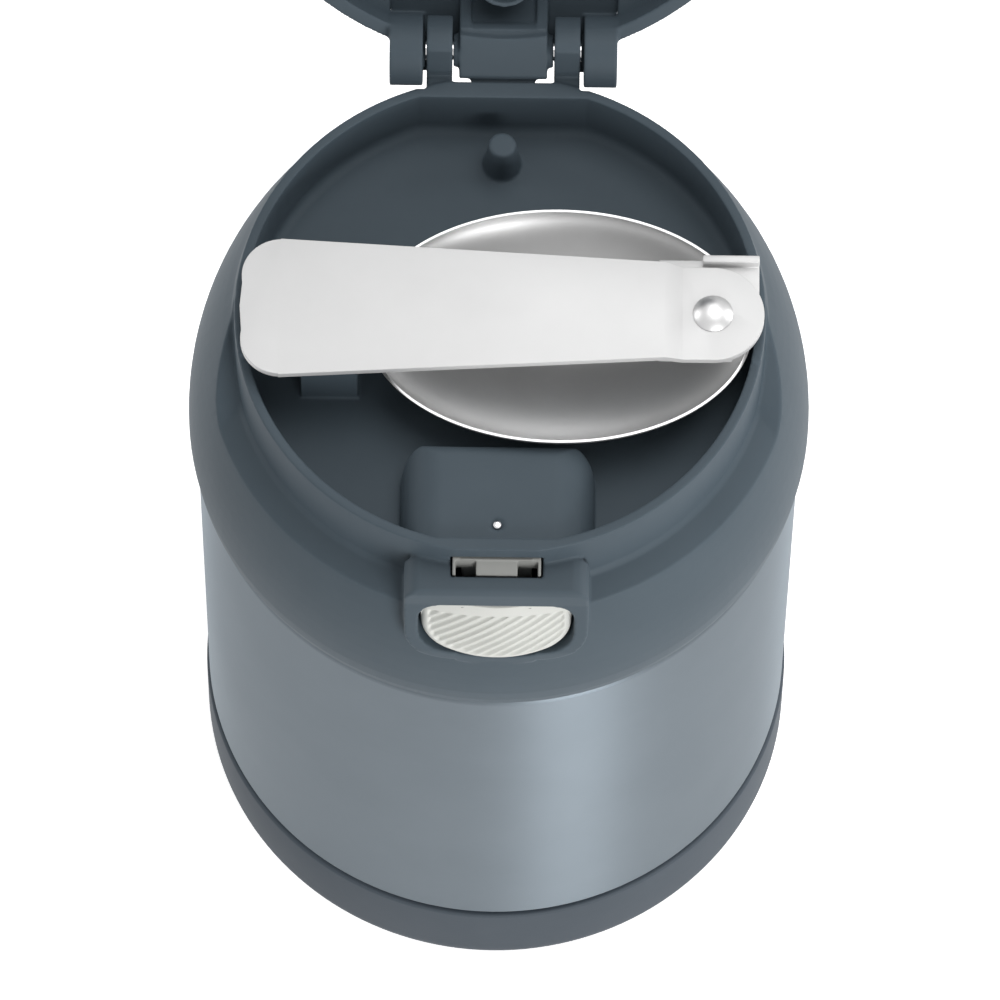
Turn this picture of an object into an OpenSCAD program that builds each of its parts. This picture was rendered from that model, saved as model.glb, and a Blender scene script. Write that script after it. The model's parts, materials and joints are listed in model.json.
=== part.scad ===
// Insulated food jar with a screw lid, a flip-up cover and a folding spoon stowed in the lid.
// Origin: centre of the foot, on the surface the jar stands on. +Z up, latch towards -Y, hinge towards +Y.
// Drawn as photographed: cover at its open stop, button out, lid screwed down, spoon folded in its tray.

/* [Jar] */
// Height at which the straight part of the shell ends
jar_top_z = 103.2; // [102:0.1:103.4]
// Sheet thickness of the steel shells
sheet = 0.8; // [0.6:0.1:1.0]
// Underside of the inner vessel
vessel_z = 7.2; // [6:0.1:9]
// Thickness of the wrapped reflective foil
foil_t = 0.2; // [0.1:0.05:0.4]

/* [Boot] */
// Height of the boot
boot_h = 19.8; // [18:0.1:21]
// Radius of the boot's lower corner
boot_corner = 7; // [5:0.5:9]
// Thickness of the boot's floor
boot_floor = 2.4; // [2:0.1:3]

/* [Screw closure] */
// Rise of the lid in one full turn
lead = 15; // [12:0.5:16]
// Number of thread starts
starts = 3; // [2:1:4]
// How far a thread ridge stands off its wall
ridge_h = 1.1; // [0.9:0.1:1.2]
// Height of a ridge where it meets its wall
ridge_w = 2.0; // [1.6:0.1:2.2]
// Arc that one ridge covers
ridge_arc = 76; // [50:1:80]

/* [Lid] */
// Largest radius of the lid
lid_r = 49; // [48.8:0.1:49.4]
// Radius of the barrel curve above the largest radius
barrel_r = 74.1; // [70:0.1:80]
// Radius of the barrel curve below it
barrel_low_r = 18.6; // [16:0.1:24]
// How far the front half of the rim is lower
rim_step = 0.5; // [0.3:0.1:0.7]
// Thickness of the tray floor
tray_t = 2.2; // [1.8:0.1:2.4]

/* [Hinge] */
// Radius of the hinge pin
pin_r = 1.5; // [1.3:0.1:1.7]
// Radius of the cover's knuckles
arm_r = 5.6; // [5.4:0.1:5.7]
// Radius of the lid's knuckles
ear_r = 5.4; // [5.2:0.1:5.5]
// Outer end of the cover's knuckles
arm_x = 17.8; // [17:0.1:18]
// Angle the cover turns from closed to its open stop
open_angle = 130; // [120:1:132]

/* [Cover] */
// Wall thickness of the cover
cover_t = 2.2; // [2:0.1:2.4]
// Radius of the cover's top edge
cover_corner = 6.6; // [5:0.1:8]

/* [Latch] */
// Half width of the button
button_x = 11.6; // [11:0.1:12]
// How far the button can be pressed
button_travel = 1.9; // [1.7:0.1:2]
// Half width of the boss round the button
boss_x = 14.2; // [13.8:0.1:14.6]
// Half width of the window for the cover's loop
window_x = 7.05; // [6.9:0.05:7.2]

/* [Spoon] */
// Depth of the bowl
bowl_depth = 9.5; // [9:0.1:9.6]
// Sheet thickness of the spoon
spoon_t = 1.2; // [1:0.1:1.3]
// Radius of the rivet's shank
rivet_r = 2.0; // [1.6:0.1:2.2]

/* [Fits] */
// Gap between parts that move past each other
gap = 0.4; // [0.3:0.05:0.5]
// Radial clearance of the pins in the parts that turn on them
running = 0.06; // [0.03:0.01:0.1]

/* [Hidden] */
// Smoothness of round parts
$fn = 96;
// Overrun that makes a cut pass right through a face
over = 1;
// Reach of cutting shapes past the whole jar
far = 70;
SLATE = [0.31, 0.36, 0.40];
SLATE_DARK = [0.24, 0.27, 0.30];
STEEL_PAINT = [0.52, 0.56, 0.61];
STEEL = [0.80, 0.80, 0.81];
SPOON_STEEL = [0.90, 0.90, 0.90];
PALE = [0.87, 0.87, 0.84];
CATCH_GREY = [0.60, 0.60, 0.58];
SEAL = [0.85, 0.86, 0.85];

// Derived: main radii and heights, all from the lid's radius and the shell's height
// Outer radius of the steel shell
jar_r = lid_r - 1.2;
// Outer radius of the inner vessel
vessel_r = jar_r - 3.8;
// Outer radius of the steel neck
neck_r = lid_r - 11.4;
// Outer radius of the rubbery boot round the base
boot_r = jar_r + 0.4;
// Radius of the steel where the boot covers it
boot_seat_r = jar_r - 1.6;
// Outer radius of the rim at its top
rim_out_r = lid_r - 7.9;
// Inner radius of the rim at its top
rim_in_r = rim_out_r - 1.4;
// Distance of the tray's straight back wall from the axis
back_y = rim_in_r - 2.25;
// Distance of the hinge axis behind the jar's axis
hinge_y = rim_out_r + 3.8;
// Outer radius of the cover at its lower edge
cover_r = lid_r - 3;
// Height at which the inner vessel starts to narrow
vessel_top_z = jar_top_z - 5.2;
// Top of the neck, where the seal presses
neck_top_z = jar_top_z + 22.8;
// Height of the middle of the neck's ridges
ridge_z = neck_top_z - 8;
// Lower edge of the lid
lid_low_z = jar_top_z + 1.7;
// Height of the lid's largest radius
lid_mid_z = lid_low_z + 6.3;
// Height of the ledge that the cover's skirt closes on, at its outer edge
ledge_z = lid_mid_z + 21.7;
// Height of the ledge at the foot of the rim
ledge_foot_z = ledge_z + 1.3;
// Top of the rim
rim_z = lid_mid_z + 35;
// Height of the tray floor
tray_z = rim_z - 9.8;
// Height of the hinge axis
hinge_z = rim_z + 1.5;
// Top of the closed cover
cover_top_z = rim_z + 9.6;
// Top of the boss
boss_z = rim_z - 5;
// Half length of the spoon's bowl
bowl_a = rim_in_r - 9.7;
// Half width of the spoon's bowl
bowl_b = rim_in_r - 19.55;
// Centre of the bowl along X
bowl_x = rim_in_r - 0.6 - bowl_a;
// Centre of the bowl along Y
bowl_y = -2.35;
// Position of the rivet along X
rivet_x = rim_in_r - 6.8;
// Position of the rivet along Y
rivet_y = -1.2;

// Derived: jar
lip_t = 0.6;
seat_corner = 3.2;
shoulder_z = neck_top_z - 16.6;
neck_in_r = neck_r - lip_t;
vessel_neck_r = neck_in_r - gap;
mouth_r = vessel_neck_r - lip_t;
bottom_r = boot_seat_r - seat_corner;
weld = 0.05;
foot_groove_in = 14;
foot_groove_out = boot_r - 15.2;
foot_groove_h = 0.8;
seal_r = 1.5;
seal_head_r = 3;
getter_r = 4;
getter_h = 1.5;
getter_x = 18;
foil_low_z = vessel_z + 8;
foil_top_z = vessel_top_z - 2;

// Derived: screw closure
rise = lead / 2 / PI;
ridge_tilt = atan(rise / neck_r);
thread_gap = 1.4;
skirt_in_r = neck_r + thread_gap;
skirt_t = 2;
skirt_out_r = skirt_in_r + skirt_t;
skirt_low_z = lid_low_z + 4.3;
// The lid's ridges lie just under the neck's, so they hold it down.
ridge_drop = ridge_w - 0.15;
flange_z = neck_top_z + 3;
flange_t = 1.6;
plug_r = mouth_r - 1.4;
plug_t = 1.6;
collar_in_r = mouth_r + 0.2;
plug_z = neck_top_z - 8;

// Derived: lid
under_z = tray_z - tray_t;
under_low_z = flange_z + flange_t;
wall_t = 2.2;
tray_fillet = 1.4;
rim_foot = 0.3;
ramp_front = -16;
ramp_back = 8;
ramp_steps = 12;
notch_y = rim_out_r - 0.9;
arm_notch_y = rim_out_r - 2.2;
notch_low_z = hinge_z - 8;
web_x = 6.9;
ear_in_x = 8.0;
ear_out_x = 12.0;
arm_in_x = 12.6;
knuckle_gap = 0.3;
side_gap = 0.2;
hinge_boss_r = 2.6;
ear_root_y = rim_out_r - 1.5;
ear_front_y = rim_out_r + 0.3;
ear_drop = 0.35;
chord_y = rim_in_r - 1.2;
chord_x = 12.5;

// Derived: latch housing in the tray
housing_x = 14.9;
housing_y = 18.1 - rim_in_r;
housing_z = rim_z - 2;
housing_edge = 2.2;
housing_side = 6.5;
housing_corner = 4.2;
window_back_y = -rim_in_r - 0.95;
window_front_y = -rim_in_r - 3.4;
slider_top_z = rim_z - 3.5;
slider_t = 3;
slider_x = 6.8;
slider_front_y = -rim_in_r - 3.1;
slider_back_y = 0.3 - rim_in_r;
neck_front_y = slider_back_y - 1.5;
nose_x = 3.2;
pocket_x = 6.3;
loop_back_y = -rim_in_r - 1.5;
loop_front_y = -rim_in_r - 3;
loop_x = 6.0;
loop_eye_x = 3.6;
loop_bar = 1.3;
link_x = 5.4;
link_low_z = tray_z - 2.7;
link_top_z = tray_z - 1;
window_floor_z = tray_z + 1.2;
tongue_x = 3.6;
tongue_low_z = tray_z + 0.9;
tongue_top_z = tray_z + 3.4;
tongue_back_y = 8.3 - rim_in_r;
stop_pin_y = 4.1 - rim_in_r;
stop_pin_r = 0.65;
stop_dome = 0.25;
spring_back_y = 14.1 - rim_in_r;
cavity_back_y = spring_back_y + button_travel + 0.2;
spring_r = 2.1;
spring_wire = 0.28;
spring_turns = 6;
spring_sides = 6;
spring_rings = 20;

// Derived: button
button_arc_r = 20.7;
button_arc_z = lid_mid_z + 32.7;
button_low_z = lid_mid_z + 18.8;
button_low_corner = 5.5;
button_top_z = lid_mid_z + 25.2;
button_corner = 3;
button_proud = 0.9;
button_back_y = -rim_in_r - 4.9;
pocket_back_y = -rim_in_r - 2.8;
pocket_wall = 1.2;
boss_corner = 2.6;
boss_front_y = -rim_in_r - 6.3;
boss_low_y = -rim_in_r - 8.5;
link_in = 1;
groove_pitch = 1.62;
groove_w = 0.7;
groove_depth = 0.55;
groove_mid_z = lid_mid_z + 18.6;
groove_top_z = button_top_z - 2.3;
groove_margin = 0.7;
groove_angle = 27;
groove_count = 17;

// Derived: cover
ceiling_z = cover_top_z - cover_t;
split_z = hinge_z - 2.5;
split_back_y = rim_out_r - 7.1;
hood_y = hinge_y + 5.9;
web_face_z = hinge_z - 2.9;
web_r = 4.4;
peg_y = back_y - 6.85;
post_y = peg_y + 1.6;
post_out_r = 4.8;
post_in_r = 4.1;
post_z = tray_z + 5.4;

// Derived: spoon
bowl_rim_z = rim_z;
bowl_t = 0.8;
bowl_power = 1.25;
strap_z = bowl_rim_z;
strap_top_z = strap_z + spoon_t;
strap_x0 = rivet_x - 8.4;
strap_x1 = rim_in_r + 0.4;
strap_r = 7.2;
strap_y0 = rivet_y - strap_r;
flange_in_y = rivet_y + 8.7;
flange_top_z = rim_z + 3.1;
flange_x0 = rivet_x - 1.6;
lobe_r = 7.95;
pivot_z = strap_top_z + 0.1;
joggle_rise = 1.3;
joggle_x0 = rivet_x - 7.7;
joggle_x1 = rivet_x - 4.9;
handle_end_x = -rim_in_r - 0.5;
handle_end_half = 11.7;
handle_end_y = -1.5;
handle_corner = 6.2;
rivet_head_r = 3.3;
rivet_dome = 1.4;
washer_r = 3.4;
washer_t = 0.4;
tail_r = 2.9;
tail_t = 0.7;
peg_h = 7.0;
peg_base_r = 3.0;
peg_top_r = 2.1;
rest_x0 = 9 - rim_in_r;
rest_x1 = 17.8 - rim_in_r;
rest_y0 = -10.4;
rest_y1 = 7.0;
rest_z = rim_z - 0.6;

// Radius of the lid's barrel at height z.
function barrel(z) = z > lid_mid_z
    ? lid_r - barrel_r + sqrt(barrel_r * barrel_r - (z - lid_mid_z) * (z - lid_mid_z))
    : lid_r - barrel_low_r + sqrt(barrel_low_r * barrel_low_r - (z - lid_mid_z) * (z - lid_mid_z));
// Smooth step from 0 to 1.
function ease(t) = t * t * (3 - 2 * t);
// Quarter arc from angle a to b about (x, z), for profiles.
function arc(x, z, r, a, b, n) = [for (i = [0 : n]) [x + r * cos(a + (b - a) * i / n), z + r * sin(a + (b - a) * i / n)]];
// Outer outline of the steel where the boot and the bottom disc meet it.
function seat_outline() = concat(
    arc(bottom_r, boot_floor + seat_corner, seat_corner, -90, 0, 6),
    [[boot_seat_r, boot_h]]);

// Box given by its two corners.
module box(a, b) {
    translate(a)
        cube(b - a);
}

// Profile in Y and Z, extruded along X between x0 and x1.
module along_x(x0, x1) {
    translate([x0, 0, 0])
        rotate([90, 0, 90])
            linear_extrude(x1 - x0)
                children();
}

// Outline in X and Z, extruded along Y between y0 and y1.
module along_y(y0, y1) {
    translate([0, y1, 0])
        rotate([90, 0, 0])
            linear_extrude(y1 - y0)
                children();
}

module mirror_x() {
    children();
    mirror([1, 0, 0])
        children();
}

// Cylinder on the hinge axis between x0 and x1.
module on_hinge(r, x0, x1) {
    translate([x0, hinge_y, hinge_z])
        rotate([0, 90, 0])
            cylinder(r = r, h = x1 - x0);
}

// Turns what is drawn closed into the open position.
module opened() {
    translate([0, hinge_y, hinge_z])
        rotate([-open_angle, 0, 0])
            translate([0, -hinge_y, -hinge_z])
                children();
}

// Jar

module base_boot() {
    color(SLATE)
        difference() {
            rotate_extrude()
                polygon(concat(
                    [[0, 0]],
                    arc(boot_r - boot_corner, boot_corner, boot_corner, -90, 0, 8),
                    [[boot_r, boot_h - 0.4], [boot_r - 0.4, boot_h]],
                    [for (i = [7 : -1 : 0]) seat_outline()[i]],
                    [[0, boot_floor]]));
            translate([0, 0, -over])
                difference() {
                    cylinder(r = foot_groove_out, h = foot_groove_h + over);
                    cylinder(r = foot_groove_in, h = foot_groove_h + over);
                }
        }
}

// One thread ridge: an arc tilted to the helix, on a wall of radius r; side is 1 outwards, -1 inwards.
module ridge(r, side, z, a) {
    rotate([0, 0, a])
        translate([0, 0, z])
            rotate([ridge_tilt, 0, 0])
                rotate([0, 0, -ridge_arc / 2])
                    rotate_extrude(angle = ridge_arc)
                        polygon([
                            [r - side * 0.2, -ridge_w / 2],
                            [r + side * ridge_h, -ridge_w / 4],
                            [r + side * ridge_h, ridge_w / 4],
                            [r - side * 0.2, ridge_w / 2]]);
}

module outer_shell() {
    color(STEEL_PAINT)
        rotate_extrude()
            polygon(concat(
                seat_outline(),
                [[boot_seat_r + 0.9, boot_h + 0.2], [jar_r - 0.2, boot_h + 0.6], [jar_r, boot_h + 1.2],
                 [jar_r, jar_top_z], [jar_r - 0.4, jar_top_z + 0.9], [jar_r - 1.5, jar_top_z + 1.3],
                 [jar_r - 4, jar_top_z + 2], [neck_r + 1.4, shoulder_z - 1.8], [neck_r, shoulder_z],
                 [neck_in_r, shoulder_z],
                 [neck_r + 0.8, shoulder_z - 2.6], [jar_r - 4.2, jar_top_z + 1.2],
                 [jar_r - 1.7, jar_top_z + 0.4], [jar_r - sheet - 0.2, jar_top_z - 0.4],
                 [jar_r - sheet, jar_top_z - 1], [jar_r - sheet, boot_h + 1.6],
                 [boot_seat_r, boot_h + 0.6], [boot_seat_r - sheet, boot_h]],
                arc(bottom_r, boot_floor + seat_corner, seat_corner - sheet, 0, -90, 6)));
}

module neck_ring() {
    color(STEEL)
        union() {
            translate([0, 0, shoulder_z])
                difference() {
                    cylinder(r = neck_r, h = neck_top_z - lip_t - shoulder_z);
                    translate([0, 0, -over])
                        cylinder(r = neck_in_r, h = neck_top_z);
                }
            for (k = [0 : starts - 1])
                ridge(neck_r, 1, ridge_z, k * 360 / starts);
        }
}

module outer_bottom() {
    color(STEEL)
        difference() {
            union() {
                translate([0, 0, boot_floor])
                    cylinder(r = bottom_r - weld, h = sheet);
                translate([0, 0, boot_floor + sheet])
                    cylinder(r = seal_head_r + 2, h = sheet);
            }
            translate([0, 0, boot_floor - over])
                cylinder(r = seal_head_r, h = sheet + over);
            translate([0, 0, boot_floor])
                cylinder(r = seal_r, h = sheet * 3);
        }
}

module vacuum_seal() {
    color(STEEL)
        translate([0, 0, boot_floor]) {
            cylinder(r = seal_head_r, h = sheet);
            cylinder(r = seal_r, h = sheet * 2);
        }
}

module getter() {
    color(STEEL)
        translate([getter_x, 0, boot_floor + sheet])
            cylinder(r = getter_r, h = getter_h);
}

module inner_vessel() {
    vessel_corner = 9;
    color(STEEL)
        rotate_extrude()
            polygon(concat(
                [[0, vessel_z]],
                arc(vessel_r - vessel_corner, vessel_z + vessel_corner, vessel_corner, -90, 0, 8),
                [[vessel_r, vessel_top_z], [vessel_r - 0.8, vessel_top_z + 2.4], [vessel_r - 3, vessel_top_z + 4.6],
                 [vessel_neck_r + 0.8, shoulder_z - 2.4], [vessel_neck_r, shoulder_z - 0.6],
                 [vessel_neck_r, neck_top_z - lip_t], [neck_r, neck_top_z - lip_t], [neck_r - 0.2, neck_top_z],
                 [mouth_r + 0.2, neck_top_z], [mouth_r, neck_top_z - 0.2], [mouth_r, shoulder_z - 0.8],
                 [mouth_r + 0.6, shoulder_z - 2.9], [vessel_r - 3.6, vessel_top_z + 4],
                 [vessel_r - 1.6, vessel_top_z + 2], [vessel_r - sheet, vessel_top_z - 0.2]],
                arc(vessel_r - vessel_corner, vessel_z + vessel_corner, vessel_corner - sheet, 0, -90, 8),
                [[0, vessel_z + sheet]]));
}

module reflective_foil() {
    color(STEEL)
        translate([0, 0, foil_low_z + 2])
            difference() {
                cylinder(r = vessel_r + foil_t, h = foil_top_z - foil_low_z - 2);
                translate([0, 0, -over])
                    cylinder(r = vessel_r, h = foil_top_z - foil_low_z + over * 2);
            }
}

// Lid

module lid_gasket() {
    seal_in_r = mouth_r - 0.4;
    seal_out_r = neck_r + 0.6;
    color(SEAL)
        rotate_extrude()
            polygon([
                [seal_in_r, neck_top_z], [seal_out_r, neck_top_z], [seal_out_r, flange_z],
                [seal_in_r - 0.6, flange_z], [seal_in_r - 0.6, neck_top_z + 1]]);
}

// Solid barrel of the lid, grown by g all round, with its rim.
module barrel_solid(g) {
    steps = 14;
    rotate_extrude()
        polygon(concat(
            [[0, lid_low_z], [barrel(lid_low_z) + g, lid_low_z]],
            [for (i = [1 : steps]) let (z = lid_low_z + (rim_z - lid_low_z) * i / steps)
                [max(barrel(z), rim_out_r) + g, z]],
            [[0, rim_z]]));
}

// Ring shaped room above the ledge, outside the rim, shrunk by g.
module ledge_room(g) {
    intersection() {
        rotate_extrude()
            polygon([
                [rim_out_r + g, rim_z + over], [rim_out_r + rim_foot + g, ledge_foot_z + rim_foot * 3 + g],
                [rim_out_r + rim_foot * 3 + g, ledge_foot_z + g], [cover_r - 0.25, ledge_z + g],
                [far, ledge_z + g], [far, rim_z + over]]);
        along_x(-far, far)
            polygon(concat(
                [[-far, ledge_z - over], [ramp_front - g, ledge_z - over]],
                [for (i = [0 : ramp_steps]) let (t = i / ramp_steps)
                    [ramp_front - g + (ramp_back - ramp_front) * t,
                     ledge_z + g + (rim_z - ledge_z + over - g) * ease(t)]],
                [[ramp_back, far * 3], [-far, far * 3]]));
    }
}

// Face outline of the button in X and Z, grown by g.
module button_outline(g) {
    intersection() {
        translate([0, button_arc_z])
            circle(r = button_arc_r + g);
        union() {
            translate([-button_x - g, button_low_z])
                square([(button_x + g) * 2, button_top_z - button_corner - button_low_z]);
            translate([button_corner - button_x, button_low_z])
                square([(button_x - button_corner) * 2, button_top_z + g - button_low_z]);
            translate([button_low_corner - button_x, button_low_z - far])
                square([(button_x - button_low_corner) * 2, far + over]);
            for (s = [-1, 1]) {
                translate([s * (button_x - button_corner), button_top_z - button_corner])
                    circle(r = button_corner + g);
                translate([s * (button_x - button_low_corner), button_low_z])
                    circle(r = button_low_corner + g);
            }
        }
    }
}

// Raised boss on the front of the lid that carries the button.
module boss() {
    lip = 0.6;
    intersection() {
        along_x(-boss_x, boss_x)
            polygon([
                [-rim_in_r, boss_z], [boss_front_y + lip, boss_z], [boss_front_y, boss_z - lip],
                [boss_front_y, boss_z - 4], [boss_low_y, lid_mid_z + 13.5], [boss_low_y - 0.1, lid_mid_z + 9],
                [pocket_back_y + pocket_wall, lid_mid_z + 9], [pocket_back_y + pocket_wall, under_z - 3],
                [-rim_in_r, under_z - 3]]);
        along_y(-far, -rim_in_r)
            union() {
                button_outline(boss_x - button_x);
                // shelf above the button
                translate([-boss_x, button_low_z])
                    square([boss_x * 2, boss_z - boss_corner - button_low_z]);
                translate([boss_corner - boss_x, button_low_z])
                    square([(boss_x - boss_corner) * 2, boss_z - button_low_z]);
                for (s = [-1, 1])
                    translate([s * (boss_x - boss_corner), boss_z - boss_corner])
                        circle(r = boss_corner);
            }
    }
}

// Walls of the pocket behind the button, inside the lid.
module pocket_box() {
    intersection() {
        along_y(-far, pocket_back_y + pocket_wall)
            button_outline(pocket_wall + gap);
        barrel_solid(0);
    }
}

// One of the lid's two hinge ears, with the bracket that carries it and a flat front that meets the rim.
module ear() {
    along_x(ear_in_x, ear_out_x)
        difference() {
            union() {
                translate([hinge_y, hinge_z])
                    circle(r = ear_r);
                polygon([
                    [ear_root_y, notch_low_z], [hinge_y - 1.6, notch_low_z], [hinge_y + 0.6, hinge_z - ear_r + 0.2],
                    [hinge_y, hinge_z], [ear_front_y + 0.5, hinge_z], [ear_front_y, rim_z - ear_drop],
                    [ear_root_y, rim_z - ear_drop]]);
            }
            polygon([
                [ear_root_y - over, rim_z - ear_drop], [ear_front_y, rim_z - ear_drop],
                [ear_front_y - 0.3, hinge_z], [ear_front_y + 1.2, hinge_z + ear_r + over],
                [ear_root_y - over, hinge_z + ear_r + over]]);
        }
}

// Cuts that free the cover's knuckles and web from the lid.
module hinge_notches() {
    box([-ear_in_x, notch_y, notch_low_z - over], [ear_in_x, far, rim_z + over]);
    mirror_x() {
        box([ear_out_x, arm_notch_y, notch_low_z - over], [arm_x + gap, far, rim_z + over]);
        on_hinge(arm_r + knuckle_gap, ear_out_x, arm_x + gap);
    }
}

// Housing of the latch, standing in the front of the tray.
module housing() {
    e = housing_edge;
    intersection() {
        along_x(-housing_x, housing_x)
            polygon(concat(
                [[-rim_in_r - 0.6, tray_z - over], [-rim_in_r - 0.6, housing_z]],
                [for (i = [6 : -1 : 0]) arc(housing_y - e, housing_z - e, e, 0, 90, 6)[i]],
                [[housing_y + 0.3, tray_z - over]]));
        along_y(-far, 0)
            union() {
                translate([-housing_x, tray_z - over])
                    square([housing_x * 2, housing_z - housing_side - tray_z + over]);
                translate([housing_side - housing_x, tray_z - over])
                    square([(housing_x - housing_side) * 2, housing_z - tray_z + over]);
                for (s = [-1, 1])
                    translate([s * (housing_x - housing_side), housing_z - housing_side])
                        circle(r = housing_side);
            }
        linear_extrude(far * 3)
            intersection() {
                circle(r = rim_in_r + 0.6);
                union() {
                    for (s = [-1, 1])
                        translate([s * (housing_x - housing_corner), housing_y - housing_corner])
                            circle(r = housing_corner);
                    translate([housing_corner - housing_x, -far])
                        square([(housing_x - housing_corner) * 2, far + housing_y]);
                    translate([-housing_x, -far])
                        square([housing_x * 2, far + housing_y - housing_corner]);
                }
            }
    }
}

// Room for the slider, its link to the button and its spring.
module latch_room() {
    // window that the cover's loop drops into
    box([-window_x, window_front_y, window_floor_z], [window_x, window_back_y, rim_z + over]);
    // room for the slider to move back under the roof
    box([-window_x, neck_front_y - gap, link_low_z - gap],
        [window_x, slider_back_y + button_travel + gap, slider_top_z + gap * 0.75]);
    // passage of the link from the button's pocket
    box([-link_x - gap, pocket_back_y - 0.1, link_low_z - gap], [link_x + gap, slider_back_y, link_top_z + gap]);
    // channel of the tongue and the spring
    box([-tongue_x - gap, slider_back_y, tongue_low_z - gap],
        [tongue_x + gap, cavity_back_y, tongue_top_z + gap]);
    translate([0, cavity_back_y, (tongue_low_z + tongue_top_z) / 2])
        rotate([90, 0, 0])
            cylinder(r = spring_r + spring_wire + gap, h = cavity_back_y - tongue_back_y + over);
    // pocket of the button
    along_y(-far, pocket_back_y)
        button_outline(gap);
}

module lid_shell() {
    color(SLATE)
        difference() {
            union() {
                difference() {
                    union() {
                        barrel_solid(0);
                        // thicker rim behind the window
                        box([-chord_x, -rim_out_r, tray_z], [chord_x, -chord_y, rim_z - rim_step]);
                    }
                    // room under the tray for the neck, the liner and the insulation
                    rotate_extrude()
                        polygon([
                            [0, lid_low_z - over], [barrel(lid_low_z) - 1.7, lid_low_z - over],
                            [barrel(lid_mid_z) - wall_t, lid_mid_z], [barrel(ridge_z) - wall_t, ridge_z],
                            [barrel(neck_top_z) - wall_t, neck_top_z], [skirt_out_r + 2.2, under_low_z],
                            [mouth_r + 2.5, under_low_z], [mouth_r - 0.5, under_z], [0, under_z]]);
                    ledge_room(0);
                    // tray
                    intersection() {
                        rotate_extrude()
                            polygon([
                                [0, tray_z], [rim_in_r - 0.4 - tray_fillet, tray_z],
                                [rim_in_r - 0.4 - tray_fillet * 0.5, tray_z + tray_fillet * 0.15],
                                [rim_in_r - 0.4 - tray_fillet * 0.15, tray_z + tray_fillet * 0.5],
                                [rim_in_r - 0.4, tray_z + tray_fillet], [rim_in_r, rim_z + over], [0, rim_z + over]]);
                        along_x(-far, far)
                            polygon([
                                [-far, tray_z - over], [back_y - 0.4 - tray_fillet, tray_z - over],
                                [back_y - 0.4 - tray_fillet, tray_z],
                                [back_y - 0.4 - tray_fillet * 0.5, tray_z + tray_fillet * 0.15],
                                [back_y - 0.4 - tray_fillet * 0.15, tray_z + tray_fillet * 0.5],
                                [back_y - 0.4, tray_z + tray_fillet], [back_y, rim_z + over], [-far, rim_z + over]]);
                    }
                    // lower front half of the rim
                    box([-far, -far, rim_z - rim_step], [far, -8, rim_z + over]);
                    hinge_notches();
                }
                // straight inner edge of the rim behind the window
                intersection() {
                    box([-chord_x, -rim_out_r, tray_z - over], [chord_x, -chord_y, rim_z - rim_step]);
                    cylinder(r = rim_in_r + 0.6, h = far * 3);
                }
                boss();
                pocket_box();
                housing();
                mirror_x()
                    ear();
                // peg on the tray floor
                translate([0, peg_y, tray_z - 0.2]) {
                    cylinder(r1 = peg_base_r, r2 = peg_top_r + 0.1, h = peg_h - 0.2);
                    translate([0, 0, peg_h - 0.2])
                        cylinder(r1 = peg_top_r + 0.1, r2 = peg_top_r - 0.2, h = 0.4);
                }
                // block beside the tip of the bowl
                box([rest_x0, rest_y0, tray_z - 0.2], [rest_x1, rest_y1, rest_z]);
            }
            latch_room();
            // hole of the stop pin, with its countersink
            translate([0, stop_pin_y, tray_z - 1])
                cylinder(r = stop_pin_r, h = far);
            translate([0, stop_pin_y, housing_z - 0.35])
                cylinder(r1 = stop_pin_r + 0.3, r2 = stop_pin_r + 0.65, h = 0.4);
            // bore of the hinge pin in the ears
            on_hinge(pin_r, -arm_x, arm_x);
        }
}

module lid_collar() {
    color(SLATE_DARK)
        union() {
            rotate_extrude()
                polygon([
                    [collar_in_r, flange_z], [skirt_in_r, flange_z], [skirt_in_r, skirt_low_z],
                    [skirt_out_r, skirt_low_z], [skirt_out_r, under_low_z], [collar_in_r, under_low_z]]);
            for (k = [0 : starts - 1])
                ridge(skirt_in_r, -1, ridge_z - ridge_drop, k * 360 / starts);
        }
}

module lid_cup() {
    color(SLATE_DARK)
        rotate_extrude()
            polygon([
                [0, plug_z], [plug_r - 1, plug_z], [plug_r, plug_z + 1], [plug_r, flange_z],
                [collar_in_r, flange_z], [collar_in_r, under_low_z], [plug_r - plug_t, under_low_z],
                [plug_r - plug_t, plug_z + plug_t], [0, plug_z + plug_t]]);
}

module lid_insulation() {
    color([0.93, 0.93, 0.90])
        translate([0, 0, plug_z + plug_t])
            cylinder(r = plug_r - plug_t, h = under_z - plug_z - plug_t);
}

// Latch

module latch_button() {
    color(PALE)
        difference() {
            intersection() {
                along_y(-far, button_back_y)
                    button_outline(0);
                barrel_solid(button_proud);
            }
            // slot that takes the slider's link
            box([-link_x, button_back_y - link_in, link_low_z], [link_x, 0, link_top_z]);
            // slanting grip grooves, of one depth all over the curved face
            intersection() {
                for (i = [0 : groove_count - 1])
                    translate([0, 0, groove_mid_z + (i - (groove_count - 1) / 2) * groove_pitch])
                        rotate([0, -groove_angle, 0])
                            box([-far, -far, -groove_w / 2], [far, button_back_y, groove_w / 2]);
                difference() {
                    barrel_solid(button_proud + over);
                    barrel_solid(button_proud - groove_depth);
                }
                along_y(-far, button_back_y)
                    button_outline(-groove_margin);
                box([-far, -far, 0], [far, button_back_y, groove_top_z]);
            }
        }
}

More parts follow.
